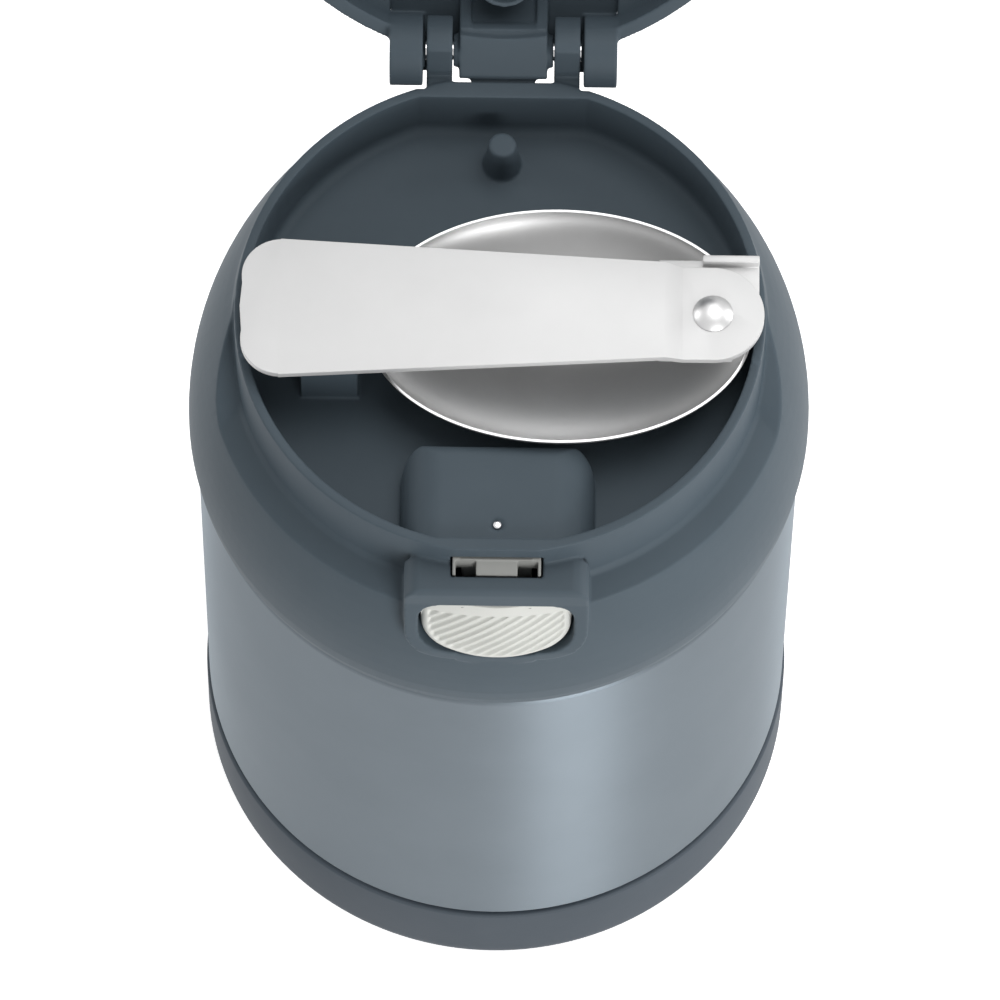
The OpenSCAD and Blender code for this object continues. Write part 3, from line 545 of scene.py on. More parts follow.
def bevel(piece: Piece, width_mm: float, segments: int) -> None:
    """Rounds the sharp edges of a piece.

    Args:
        piece: The piece, changed in place.
        width_mm: Width of the rounding.
        segments: Number of stretches across it.
    """
    sharp_angle, smooth_angle = 28.0, 40.0
    edge = piece.modifiers.new("rounding", "BEVEL")
    edge.width = width_mm * MM
    edge.segments = segments
    edge.limit_method = "ANGLE"
    edge.angle_limit = math.radians(sharp_angle)
    edge.harden_normals = False
    edge.miter_outer = "MITER_ARC"
    apply_modifiers(piece)
    shade(piece, smooth_angle)


@dataclass(frozen=True)
class Softening:
    """How a moulding gets its soft edges.

    The cells that it is rebuilt from are in mm, and keep is the share of the triangles that stays.
    """

    cell: float
    passes: int
    keep: float
    flat_angle: float = 0.0

    def soften(self, piece: Piece) -> None:
        """Rebuilds a piece from cells, smooths it and thins its mesh out.

        Args:
            piece: The piece, changed in place.
        """
        rebuild = piece.modifiers.new("cells", "REMESH")
        rebuild.mode = "VOXEL"
        rebuild.voxel_size = self.cell * MM
        rebuild.adaptivity = 0.0
        smooth = piece.modifiers.new("soft", "SMOOTH")
        smooth.factor = 0.5
        smooth.iterations = self.passes
        fewer = piece.modifiers.new("fewer", "DECIMATE")
        fewer.ratio = self.keep
        apply_modifiers(piece)
        piece.data.shade_smooth()
        LOG.info("%s has %d faces", piece.name, len(piece.data.polygons))


def join(name: str, *parts: Piece) -> Piece:
    """Joins pieces into one mesh.

    Args:
        name: Name of the joined piece.
        *parts: The pieces, which are removed.

    Returns:
        The joined piece.
    """
    work = bmesh.new()
    for part in parts:
        work.from_mesh(part.data)
    mesh = bpy.data.meshes.new(name)
    work.to_mesh(mesh)
    work.free()
    for part in parts:
        bpy.data.objects.remove(part)
    piece = link(name, mesh)
    shade(piece)
    return piece


@dataclass
class Dresser:
    """Puts finishes on pieces and joins them to the frame."""

    frame: dict
    groups: Groups = field(default_factory=Groups)
    made: dict[str, bpy.types.Material] = field(default_factory=dict)

    def material(self, look: Look) -> bpy.types.Material:
        """The material of a look, built on first use.

        Args:
            look: The look.

        Returns:
            Its material.
        """
        if look.value.slot not in self.made:
            self.made[look.value.slot] = look.value.build(self.groups)
        return self.made[look.value.slot]

    def place(self, piece: Piece, body: str, look: Look, *nodes: str) -> None:
        """Dresses a piece and joins it to a body in place of the nodes it stands for.

        Args:
            piece: The finished piece.
            body: Body of the frame that it moves with.
            look: Its finish.
            *nodes: Nodes of the frame that it replaces.
        """
        piece.data.materials.clear()
        piece.data.materials.append(self.material(look))
        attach(piece, body)
        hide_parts(*nodes)
        LOG.info("%s rides on %s, replaces %s", piece.name, body, nodes)

    def copy(self, node: str, name: str, flat_angle: float = 0.6) -> Piece:
        """Copies a node of the frame as a merged mesh with its flat faces joined.

        Args:
            node: Name of the node.
            name: Name of the new piece.
            flat_angle: Largest angle in degrees across an edge that is dissolved.

        Returns:
            The copy.
        """
        merge_mm, flat = 0.002, math.radians(flat_angle)
        piece = link(name, self.frame["nodes"][node].data.copy())
        piece.data.materials.clear()
        work = bmesh.new()
        work.from_mesh(piece.data)
        bmesh.ops.remove_doubles(work, verts=work.verts, dist=merge_mm * MM)
        bmesh.ops.dissolve_limit(
            work, angle_limit=flat, verts=work.verts, edges=work.edges, delimit=set()
        )
        work.to_mesh(piece.data)
        work.free()
        return piece

    def mould(self, node: str, name: str, body: str, look: Look, softening: Softening) -> None:
        """Makes and places the soft-edged moulding that stands for a node.

        Args:
            node: Name of the node.
            name: Name of the new piece.
            body: Body of the frame that it moves with.
            look: Its finish.
            softening: How it gets its soft edges.
        """
        piece = self.copy(node, name, softening.flat_angle)
        softening.soften(piece)
        self.place(piece, body, look, node)

    def keep(self, node: str, look: Look) -> None:
        """Dresses a node of the frame whose shape is right.

        Args:
            node: Name of the node.
            look: Its finish.
        """
        mesh_slots = self.frame["nodes"][node].material_slots
        if not mesh_slots:
            self.frame["nodes"][node].data.materials.append(self.material(look))
        for mesh_slot in mesh_slots:
            mesh_slot.material = self.material(look)
        LOG.info("%s stays, dressed as %s", node, look.value.slot)


class Repeater:
    """A geometry tree that makes what repeats on the jar."""

    def __init__(self, name: str, inputs: Sequence[tuple[str, str, object]]) -> None:
        """Starts the tree.

        Args:
            name: Name of the tree.
            inputs: Name, socket type and default value of each input between geometry and finish.
        """
        geometry, finish = ("Geometry", GEOMETRY, None), ("Finish", "NodeSocketMaterial", None)
        sockets = [geometry, *inputs, finish]
        self.net = Net.group(name, "GeometryNodeTree", sockets, {"Geometry": GEOMETRY})
        self.given = self.net.add("NodeGroupInput").outputs

    def run(self, shape: bpy.types.Node, piece: Piece, values: dict[str, object]) -> None:
        """Ends the tree with a shape and its finish, and runs it on a piece.

        Args:
            shape: Node that makes the shape.
            piece: The piece, which becomes a plain mesh of the shape.
            values: Value of each named input.
        """
        real = self.net.add("GeometryNodeRealizeInstances", {"Geometry": shape})
        dressed = {"Geometry": real, "Material": self.given["Finish"]}
        finish = self.net.add("GeometryNodeSetMaterial", dressed)
        self.net.add("NodeGroupOutput", {"Geometry": finish})
        modifier = piece.modifiers.new("repeat", "NODES")
        modifier.node_group = self.net.tree
        for item in self.net.tree.interface.items_tree:
            if item.item_type == "SOCKET" and item.in_out == "INPUT" and item.name in values:
                modifier[item.identifier] = values[item.name]
        apply_modifiers(piece)

    @classmethod
    def around(cls, piece: Piece, count: int, material: bpy.types.Material) -> None:
        """Repeats a piece about the Z axis.

        Args:
            piece: The piece at angle 0, replaced by all its copies.
            count: Number of copies.
            material: Finish of the copies.
        """
        tree = cls("around_axis", [("Count", "NodeSocketInt", 3)])
        add, number = tree.net.add, tree.given["Count"]
        line = add("GeometryNodeMeshLine", {"Offset": (0.0, 0.0, 0.0), "Count": number}, mode="OFFSET")
        step = add("ShaderNodeMath", {0: math.tau, 1: number}, operation="DIVIDE")
        index = add("GeometryNodeInputIndex")
        angle = add("ShaderNodeMath", {0: index, 1: step}, operation="MULTIPLY")
        turn = add("ShaderNodeCombineXYZ", {"Z": angle})
        spread = {"Points": line, "Instance": tree.given["Geometry"], "Rotation": turn}
        copies = add("GeometryNodeInstanceOnPoints", spread)
        tree.run(copies, piece, {"Count": count, "Finish": material})

    @classmethod
    def coil(cls, name: str, sizes: dict[str, float], material: bpy.types.Material) -> Piece:
        """Makes a coil spring along Z from the origin.

        Args:
            name: Name of the piece.
            sizes: Radius of the coil, Wire as the radius of the wire and Length in metres, and Turns.
            material: Finish of the wire.

        Returns:
            The coil as a plain mesh.
        """
        tree = cls("wound_wire", [(key, FLOAT, value) for key, value in sizes.items()])
        given = tree.given
        helix = tree.net.add(
            "GeometryNodeCurveSpiral",
            {
                "Resolution": 36,
                "Rotations": given["Turns"],
                "Start Radius": given["Radius"],
                "End Radius": given["Radius"],
                "Height": given["Length"],
            },
        )
        section = {"Resolution": 12, "Radius": given["Wire"]}
        ring = tree.net.add("GeometryNodeCurvePrimitiveCircle", section)
        swept = {"Curve": helix, "Profile Curve": ring, "Fill Caps": True}
        tube = tree.net.add("GeometryNodeCurveToMesh", swept)
        piece = mesh_piece(name, [(0, 0, 0), (1, 0, 0), (0, 1, 0)], [(0, 1, 2)])
        tree.run(tube, piece, {**sizes, "Finish": material})
        return piece


# The jar


@dataclass
class Assembly:
    """A sub-assembly, whose build method makes its pieces and has them dressed."""

    dresser: Dresser


@dataclass
class Thread:
    """The ridges of the screw closure."""

    lead: float = 15.0
    starts: int = 3
    arc: float = 76.0
    height: float = 1.1
    foot: float = 2.0
    root: float = 0.3
    corner: float = 0.3
    steps: int = 26
    fade_rate: float = 6.0
    end_height_share: float = 0.04
    end_width_share: float = 0.6
    neck_z: float = 118.0

    def ridges(
        self, name: str, radius: float, side: float, z: float, finish: bpy.types.Material
    ) -> Piece:
        """Ridges on a wall, each an arc of a helix that fades out at its ends.

        Args:
            name: Name of the piece.
            radius: Radius of the wall in millimetres.
            side: 1 for ridges that point outwards, -1 inwards.
            z: Height of the middle of the ridges.
            finish: Their finish.

        Returns:
            The ridges as one mesh.
        """
        foot, crest = self.foot / 2, self.foot / 4
        section = rounded([
            (-self.root, -foot, 0.0), (self.height, -crest, self.corner),
            (self.height, crest, self.corner), (-self.root, foot, 0.0),
        ])
        verts = []
        for i in range(self.steps + 1):
            angle = -self.arc / 2 + self.arc * i / self.steps
            near_end = min(i, self.steps - i) / self.steps
            fade = min(1.0, self.fade_rate * near_end + self.end_height_share)
            width = self.end_width_share + (1 - self.end_width_share) * fade
            a = math.radians(angle)
            for out, up in section:
                r = radius + side * (out if out < 0 else out * fade)
                verts.append((r * math.cos(a), r * math.sin(a), z + up * width + self.lead / 360 * angle))
        piece = mesh_piece(name, verts, tube_faces(self.steps + 1, len(section)))
        Repeater.around(piece, self.starts, finish)
        return piece


@dataclass
class JarBody(Assembly):
    """Boot, painted shell, neck and inner vessel; tuples of points are offsets from a corner."""

    boot_r: float = 48.2
    boot_h: float = 19.8
    boot_corner: float = 7.0
    boot_floor: float = 2.4
    boot_edge: float = 0.55
    ring_in: float = 14.0
    ring_out: float = 33.0
    ring_depth: float = 0.8
    ring_edge: float = 0.4
    groove: float = 0.9
    groove_edge: float = 0.3
    seat_r: float = 46.2
    seat_corner: float = 3.2
    shell_r: float = 47.8
    shell_top: float = 103.2
    shell_middle: float = 60.0
    sheet: float = 0.8
    step_z: float = 1.6
    step_corner: float = 1.5
    shoulder_corner: float = 1.4
    shoulder_turn: float = 78.0
    seat_top: tuple[Point2, ...] = ((0.0, -0.6), (0.0, -0.2))
    shell_flank: tuple[Point2, ...] = ((-4.0, 2.0),)
    shell_flank_in: tuple[Point2, ...] = ((-4.2, 1.2), (-1.7, 0.4), (-0.8, -1.0))
    step_in: tuple[Point2, ...] = ((1.6, 1.8), (0.0, 0.4))
    neck_flare: tuple[Point2, ...] = ((1.9, -2.4), (0.7, -1.3), (0.0, 0.0))
    neck_flare_in: tuple[Point2, ...] = ((-0.6, 0.0), (0.8, -2.6))
    neck_r: float = 37.6
    neck_top: float = 126.0
    shoulder: float = 109.4
    vessel_r: float = 44.0
    vessel_z: float = 7.2
    vessel_top: float = 98.0
    vessel_corner: float = 9.0
    vessel_flank: tuple[Point2, ...] = ((0.0, 0.0), (-0.8, 2.4), (-3.0, 4.6))
    vessel_flank_in: tuple[Point2, ...] = ((-3.6, 4.0), (-1.6, 2.0), (-0.8, -0.2))
    throat: tuple[Point2, ...] = ((0.8, -2.4), (0.0, -0.6))
    throat_in: tuple[Point2, ...] = ((0.0, -0.8), (0.6, -2.9))
    lip: float = 0.6
    lip_edge: float = 0.3
    mouth_r: float = 36.0
    fine_sides: int = 192
    thread: Thread = field(default_factory=Thread)

    def build(self) -> None:
        """Builds and dresses the pieces of the jar."""
        dresser = self.dresser
        dresser.place(self.boot(), "jar", Look.BOOT, "base_boot")
        dresser.place(self.shell(), "jar", Look.PAINT, "outer_shell")
        dresser.place(self.neck(), "jar", Look.VESSEL, "neck_ring")
        dresser.place(self.vessel(), "jar", Look.VESSEL, "inner_vessel")
        for node in ("outer_bottom", "vacuum_seal", "getter"):
            dresser.keep(node, Look.VESSEL)
        dresser.keep("reflective_foil", Look.FOIL)

    def seat(self) -> list[Point2]:
        """Outline of the steel inside the boot, from the middle of its bottom outwards."""
        z = self.boot_floor + self.seat_corner
        return arc(self.seat_r - self.seat_corner, z, self.seat_corner, -90, 0, 8)

    def boot(self) -> Piece:
        """The rubbery boot, with the ring in its underside and the soft edge at the groove.

        Returns:
            The piece.
        """
        soft, edge, thin = self.ring_edge, self.boot_edge, self.groove_edge
        outer = [(0.0, 0.0), *arc(self.ring_in - soft, soft, soft, -90, 0, 3)]
        outer += [(self.ring_in, self.ring_depth), (self.ring_out, self.ring_depth)]
        outer += arc(self.ring_out + soft, soft, soft, 180, 270, 3)
        outer += arc(self.boot_r - self.boot_corner, self.boot_corner, self.boot_corner, -90, 0, 14)
        outer += arc(self.boot_r - edge, self.boot_h - edge, edge, 0, 90, 5)
        outer += arc(self.seat_r + self.groove, self.boot_h - thin, thin, 90, 180, 3)
        inner = [(self.seat_r, self.boot_h - self.groove), *reversed(self.seat())]
        return lathe("boot", [*outer, *inner, (0.0, self.boot_floor)])

    def shell(self) -> Piece:
        """The painted outer shell with its shoulder.

        Returns:
            The piece.
        """
        r, top, t = self.shell_r, self.shell_top, self.sheet
        step, round_r = self.step_corner, self.shoulder_corner
        out = [*self.seat(), *shift(self.seat_r, self.boot_h, self.seat_top)]
        out += arc(r - step, self.boot_h + self.step_z, step, -90, 0, 6)
        out += [(r, self.shell_middle), *arc(r - round_r, top, round_r, 0, self.shoulder_turn, 6)]
        out += shift(r, top, self.shell_flank)
        out += shift(self.neck_r, self.shoulder, self.neck_flare)
        into = shift(self.neck_r, self.shoulder, self.neck_flare_in)
        into += shift(r, top, self.shell_flank_in)
        into += shift(self.seat_r - t, self.boot_h, self.step_in)
        z = self.boot_floor + self.seat_corner
        into += arc(self.seat_r - self.seat_corner, z, self.seat_corner - t, 0, -90, 6)
        return lathe("outer_shell_skin", out + into, self.fine_sides)

    def neck(self) -> Piece:
        """The bare steel neck with its thread ridges.

        Returns:
            The piece.
        """
        r, inner = self.neck_r, self.neck_r - self.lip
        low, top = self.shoulder, self.neck_top - self.lip
        wall = lathe("neck_wall", [(r, low), (r, top), (inner, top), (inner, low)], self.fine_sides)
        steel = self.dresser.material(Look.VESSEL)
        ridges = self.thread.ridges("neck_ridges", r, 1.0, self.thread.neck_z, steel)
        return join("threaded_neck", wall, ridges)

    def vessel(self) -> Piece:
        """The spun inner vessel, with the rolled lip at its mouth.

        Returns:
            The piece.
        """
        corner, t, edge = self.vessel_corner, self.sheet, self.lip_edge
        neck, under_lip = self.mouth_r + self.lip, self.neck_top - self.lip
        out = [(0.0, self.vessel_z)]
        out += arc(self.vessel_r - corner, self.vessel_z + corner, corner, -90, 0, 12)
        out += shift(self.vessel_r, self.vessel_top, self.vessel_flank)
        out += shift(neck, self.shoulder, self.throat)
        out += [(neck, under_lip), (self.neck_r, under_lip)]
        out += arc(self.neck_r - edge, self.neck_top - edge, edge, 0, 90, 3)
        into = arc(self.mouth_r + edge, self.neck_top - edge, edge, 90, 180, 3)
        into += shift(self.mouth_r, self.shoulder, self.throat_in)
        into += shift(self.vessel_r, self.vessel_top, self.vessel_flank_in)
        into += arc(self.vessel_r - corner, self.vessel_z + corner, corner - t, 0, -90, 12)
        into += [(0.0, self.vessel_z + t)]
        return lathe("vessel", out + into)


# The lid


@dataclass
class Lid(Assembly):
    """Screw lid with its tray, hinge ears, liner, seal and pins."""

    softening: Softening = Softening(0.26, 2, 0.1)
    hinge_y: float = 44.9
    hinge_z: float = 147.7
    pin_r: float = 1.5
    pin_half: float = 17.2
    chamfer: float = 0.3
    edge: float = 0.3
    soft_edge: float = 0.4
    foot_edge: float = 0.5
    seal_low: float = 126.0
    seal_top: float = 129.0
    seal_in: float = 35.6
    seal_out: float = 38.2
    seal_lip_r: float = 35.0
    seal_lip_z: float = 1.0
    seal_edge: float = 0.35
    seal_fine_edge: float = 0.2
    liner_wall: float = 39.0
    liner_low: float = 109.2
    liner_top: float = 130.6
    skirt_t: float = 2.0
    collar_in: float = 36.2
    plug_r: float = 34.6
    plug_z: float = 118.0
    plug_t: float = 1.6
    plug_corner: float = 1.2
    plug_corner_in: float = 0.8
    ridge_drop: float = 1.85
    stop_y: float = -35.6
    stop_r: float = 0.65
    stop_dome: tuple[Point2, ...] = ((1.0, -0.25), (0.92, -0.12), (0.6, 0.0))
    thread: Thread = field(default_factory=Thread)

    def build(self) -> None:
        """Builds and dresses the pieces of the lid."""
        dresser = self.dresser
        dresser.mould("lid_shell", "lid_moulding", "lid", Look.SLATE, self.softening)
        dresser.place(self.collar(), "lid", Look.DARK, "lid_collar")
        dresser.place(self.cup(), "lid", Look.DARK, "lid_cup")
        dresser.place(self.seal(), "seal", Look.SEAL, "lid_gasket")
        dresser.place(self.hinge_pin(), "lid", Look.PIN, "hinge_pin")
        dresser.place(self.stop_pin(), "lid", Look.PIN, "latch_pin")
        dresser.keep("lid_insulation", Look.FOAM)

    def collar(self) -> Piece:
        """The threaded skirt that turns on the neck, with its flange.

        Returns:
            The piece.
        """
        wall, outer, inner = self.liner_wall, self.liner_wall + self.skirt_t, self.collar_in
        skirt = lathe("skirt_wall", rounded([
            (inner, self.seal_top, 0.0), (wall, self.seal_top, self.soft_edge),
            (wall, self.liner_low, self.foot_edge), (outer, self.liner_low, self.foot_edge),
            (outer, self.liner_top, self.edge), (inner, self.liner_top, 0.0),
        ]))
        z, dark = self.thread.neck_z - self.ridge_drop, self.dresser.material(Look.DARK)
        return join("threaded_collar", skirt, self.thread.ridges("skirt_ridges", wall, -1.0, z, dark))

    def cup(self) -> Piece:
        """The plug that reaches into the mouth and holds the foam.

        Returns:
            The piece.
        """
        floor, inner, top = self.plug_z + self.plug_t, self.plug_r - self.plug_t, self.liner_top
        return lathe("lid_plug", rounded([
            (0.0, self.plug_z, 0.0), (self.plug_r, self.plug_z, self.plug_corner),
            (self.plug_r, self.seal_top, self.soft_edge), (self.collar_in, self.seal_top, 0.0),
            (self.collar_in, top, 0.0), (inner, top, self.edge),
            (inner, floor, self.plug_corner_in), (0.0, floor, 0.0),
        ]))

    def seal(self) -> Piece:
        """The soft ring between the neck and the lid.

        Returns:
            The piece.
        """
        low, top, lip = self.seal_low, self.seal_top, self.seal_lip_r
        return lathe("seal_ring", rounded([
            (self.seal_in, low, self.seal_fine_edge), (self.seal_out, low, self.seal_edge),
            (self.seal_out, top, self.seal_edge), (lip, top, self.edge),
            (lip, low + self.seal_lip_z, self.edge),
        ]))

    def hinge_pin(self) -> Piece:
        """The steel pin of the cover's hinge, with chamfered ends.

        Returns:
            The piece.
        """
        half, r, cut = self.pin_half, self.pin_r, self.chamfer
        side = [(r - cut, -half), (r, -half + cut), (r, half - cut), (r - cut, half)]
        pin = lathe("hinge_rod", [(0, -half), *side, (0, half)], 48)
        place = Matrix.Translation((0, self.hinge_y * MM, self.hinge_z * MM))
        pin.data.transform(place @ Matrix.Rotation(QUARTER, 4, "Y"))
        return pin

    def stop_pin(self) -> Piece:
        """The thin steel pin that limits the slider, with its bright domed end.

        Returns:
            The piece.
        """
        low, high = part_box("latch_pin")
        z0, z1, r = low.z / MM, high.z / MM, self.stop_r
        dome = [(r * share, z1 + up) for share, up in self.stop_dome]
        pin = lathe("stop_rod", [(0, z0), (r, z0), *dome, (0, z1)], 32)
        pin.data.transform(Matrix.Translation((0, self.stop_y * MM, 0)))
        return pin


@dataclass
class Latch(Assembly):
    """Button, slider and spring."""

    spring_r: float = 2.1
    wire: float = 0.28
    turns: float = 6.0
    softening: Softening = Softening(0.12, 3, 0.4, 0.6)
    barrel_r: float = 74.1
    lid_r: float = 49.0
    lid_mid: float = 111.2
    half: float = 11.6
    top_z: float = 136.4
    top_corner: float = 3.0
    low_z: float = 130.2
    low_corner: float = 5.5
    arc_r: float = 20.7
    shank_share: float = 0.955
    middle_drop: float = 1.0
    dip: float = 0.6
    proud: float = 0.9
    back_y: float = -44.8
    rim: float = 0.15
    edge: float = 0.09
    rings: int = 80
    ring_power: float = 1.15
    reach_share: float = 0.99
    smooth_angle: float = 50.0
    groove_pitch: float = 1.32
    groove_half: float = 0.45
    groove_depth: float = 0.45
    groove_slant: float = 38.0
    groove_top: float = 133.8
    groove_fade: float = 0.3
    groove_fade_share: float = 0.04

    def build(self) -> None:
        """Builds and dresses the pieces of the latch."""
        self.dresser.place(self.button(), "latch", Look.BUTTON, "latch_button")
        # The slider's grey is painted shade: the button's plastic, darkened for the shade inside the
        # lid's window.
        self.dresser.mould("latch_slider", "catch_slider", "latch", Look.SHADED_SLIDER, self.softening)
        self.dresser.place(self.spring(), "latch", Look.PIN, "latch_spring")

    def spring(self) -> Piece:
        """The spring that pushes the button out.

        Returns:
            The piece.
        """
        low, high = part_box("latch_spring")
        wire = self.wire * MM
        sizes = {"Radius": self.spring_r * MM, "Wire": wire, "Length": high.y - low.y - 2 * wire}
        sizes["Turns"] = self.turns
        spring = Repeater.coil("return_spring", sizes, self.dresser.material(Look.PIN))
        place = Matrix.Translation((0, low.y + wire, (low.z + high.z) / 2))
        spring.data.transform(place @ Matrix.Rotation(-QUARTER, 4, "X"))
        spring.data.shade_smooth()
        return spring

    def outline(self) -> list[Point2]:
        """Outline of the button: a flat arc below, round corners and a dip in the top edge.

        Returns:
            Points of X and Z, from the lowest one to the right.
        """
        low_x, top_x = self.half - self.low_corner, self.half - self.top_corner
        side_z = self.top_z - self.top_corner
        arc_z = self.low_z + math.sqrt((self.arc_r - self.low_corner) ** 2 - low_x**2)
        turn = math.degrees(math.atan2(self.low_z - arc_z, low_x))
        right = arc(0.0, arc_z, self.arc_r, -90, turn, 30)
        right += arc(low_x, self.low_z, self.low_corner, turn, 0, 40)[1:]
        side_steps, top_steps = 20, 35
        for i in range(1, side_steps):
            right.append((self.half, self.low_z + (side_z - self.low_z) * i / side_steps))
        right += arc(top_x, side_z, self.top_corner, 0, 90, 26)
        for i in range(1, top_steps + 1):
            x = top_x * (1 - i / top_steps)
            right.append((x, self.top_z - self.dip * math.cos(QUARTER * x / top_x) ** 2))
        return right + [(-x, z) for x, z in reversed(right[1:-1])]

    def face_y(self, x: float, z: float, inset: float) -> float:
        """Y of the button's face.

        Args:
            x: Place across.
            z: Height.
            inset: Share of the way from the outline to the middle.

        Returns:
            The face, with its rounded edge and its grooves.
        """
        barrel = math.sqrt(self.barrel_r**2 - (z - self.lid_mid) ** 2)
        radius = self.lid_r - self.barrel_r + barrel + self.proud
        t = min(inset / self.edge, 1.0)
        rounding = self.edge * self.half * (1 - math.sqrt(1 - (1 - t) ** 2))
        slant = math.radians(self.groove_slant)
        across = ((z - self.low_z) * math.cos(slant) - x * math.sin(slant)) / self.groove_pitch
        off = abs(across - math.floor(across) - 0.5) * self.groove_pitch / self.groove_half
        groove = self.groove_depth * math.sqrt(max(1 - off * off, 0.0))
        groove *= min(max((inset - self.edge) / self.groove_fade_share, 0.0), 1.0)
        groove *= min(max((self.groove_top - z) / self.groove_fade, 0.0), 1.0)
        return min(-math.sqrt(radius**2 - x * x) + rounding + groove, self.back_y - self.rim)

    def button(self) -> Piece:
        """The push button: a pillow that follows the barrel, with slanting grip grooves.

        Returns:
            The piece.
        """
        rim = self.outline()
        middle = (self.low_z + self.top_z - self.middle_drop) / 2
        share = self.shank_share
        verts = [(x * share, self.back_y, middle + (z - middle) * share) for x, z in rim]
        for i in range(self.rings):
            inset = self.reach_share * (i / (self.rings - 1)) ** self.ring_power
            for x0, z0 in rim:
                x, z = x0 * (1 - inset), middle + (z0 - middle) * (1 - inset)
                verts.append((x, self.face_y(x, z, inset), z))
        piece = mesh_piece("push_button", verts, tube_faces(self.rings + 1, len(rim)))
        shade(piece, self.smooth_angle)
        return piece


@dataclass
class Cover(Assembly):
    """The flip-up cover with its knuckles, web, loop and tube."""

    softening: Softening = Softening(0.26, 2, 0.12)

    def build(self) -> None:
        """Builds and dresses the cover."""
        self.dresser.mould("cover_shell", "cover_moulding", "cover", Look.SLATE, self.softening)


@dataclass
class Spoon(Assembly):
    """The folding spoon: bowl, strap, handle, rivet and washer."""

    bowl_x: float = 9.1
    bowl_y: float = -2.35
    bowl_a: float = 30.0
    bowl_b: float = 20.15
    depth: float = 9.5
    sheet: float = 0.5
    inner_share: float = 0.9
    rim_z: float = 146.2
    rim_drop: float = 0.12
    rim_rings: int = 4
    power: float = 1.25
    rings: int = 40
    sides: int = 160
    first_share: float = 0.002
    smooth_angle: float = 50.0
    strap_edge: float = 0.22
    handle_edge: float = 0.3
    rivet_x: float = 32.9
    rivet_y: float = -1.2
    rivet_r: float = 2.0
    foot_r: float = 2.9
    foot_t: float = 0.7
    foot_flat_r: float = 2.4
    foot_edge: float = 0.35
    head_r: float = 3.1
    head_edge: float = 0.1
    dome: float = 1.4
    dome_steps: int = 12

    def build(self) -> None:
        """Builds and dresses the pieces of the spoon."""
        dresser = self.dresser
        dresser.place(self.bowl(), "spoon", Look.SPOON, "spoon_bowl")
        strap = dresser.copy("spoon_strap", "rivet_strap")
        bevel(strap, self.strap_edge, 3)
        dresser.place(strap, "spoon", Look.HANDLE, "spoon_strap")
        handle = dresser.copy("spoon_handle", "folding_handle")
        bevel(handle, self.handle_edge, 4)
        dresser.place(handle, "handle", Look.HANDLE, "spoon_handle")
        dresser.place(self.rivet(), "spoon", Look.SPOON, "spoon_rivet")
        dresser.keep("rivet_washer", Look.SPOON)

    def ring(self, inset: float, depth: float, turn: float, drop: float = 0.0) -> list[Point3]:
        """One ring of points of the bowl.

        Args:
            inset: Distance that the ring stays inside the outline at the rim.
            depth: Depth of the bowl's middle under the rim.
            turn: Angle from the middle, 0, to the rim, a quarter turn.
            drop: Distance that the whole ring is lowered by.

        Returns:
            The points.
        """
        a, b = (self.bowl_a - inset) * math.sin(turn), (self.bowl_b - inset) * math.sin(turn)
        z = self.rim_z - depth * max(math.cos(turn), 0.0) ** self.power - drop
        turns = [math.tau * j / self.sides for j in range(self.sides)]
        return [(self.bowl_x + a * math.cos(t), self.bowl_y + b * math.sin(t), z) for t in turns]

    def bowl(self) -> Piece:
        """The dished bowl, with a rounded rim.

        Returns:
            The piece.
        """
        turns = [QUARTER * max(i / self.rings, self.first_share) for i in range(self.rings + 1)]
        inset = self.sheet * self.inner_share
        rings = [self.ring(0.0, self.depth, turn) for turn in turns]
        for i in range(1, self.rim_rings):
            a = math.pi * i / self.rim_rings
            drop = self.rim_drop * (1 - math.sin(a))
            rings.append(self.ring(inset / 2 * (1 - math.cos(a)), 0.0, QUARTER, drop))
        rings += [self.ring(inset, self.depth - self.sheet, turn) for turn in reversed(turns)]
        verts = [point for ring in rings for point in ring]
        piece = mesh_piece("dished_bowl", verts, tube_faces(len(rings), self.sides))
        shade(piece, self.smooth_angle)
        return piece

    def rivet(self) -> Piece:
        """The rivet with its domed head.

        Returns:
            The piece.
        """
        low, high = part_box("spoon_rivet")
        z0, z1, r, foot = low.z / MM, high.z / MM, self.rivet_r, self.foot_r
        head, step = z1 - self.dome, z0 + self.foot_t
        curve = (self.head_r**2 + self.dome**2) / 2 / self.dome
        reach = math.degrees(math.asin(self.head_r / curve))
        dome = arc(0.0, z1 - curve, curve, 90 - reach, 90, self.dome_steps)[:-1]
        profile = [(0.0, z0), (self.foot_flat_r, z0), (foot, z0 + self.foot_edge), (foot, step)]
        profile += [(r, step), (r, head), (self.head_r - self.head_edge, head), *dome, (0.0, z1)]
        piece = lathe("domed_rivet", profile, 64)
        piece.data.transform(Matrix.Translation((self.rivet_x * MM, self.rivet_y * MM, 0)))
        return piece


# The studio


@dataclass(frozen=True)
class Lamp:
    """A soft rectangular lamp, with its place, its aim and its size in millimetres."""

    name: str
    place: Point3
    aim: Point3
    width: float
    height: float
    watts: float

    def build(self) -> None:
        """Makes the lamp."""
        data = bpy.data.lights.new(self.name, "AREA")
        data.shape = "RECTANGLE"
        data.size = self.width * MM
        data.size_y = self.height * MM
        data.energy = self.watts
        lamp = link(self.name, data)
        lamp.location = Vector(self.place) * MM
        aim = Vector(self.aim) * MM - lamp.location
        lamp.rotation_euler = aim.to_track_quat("-Z", "Y").to_euler()


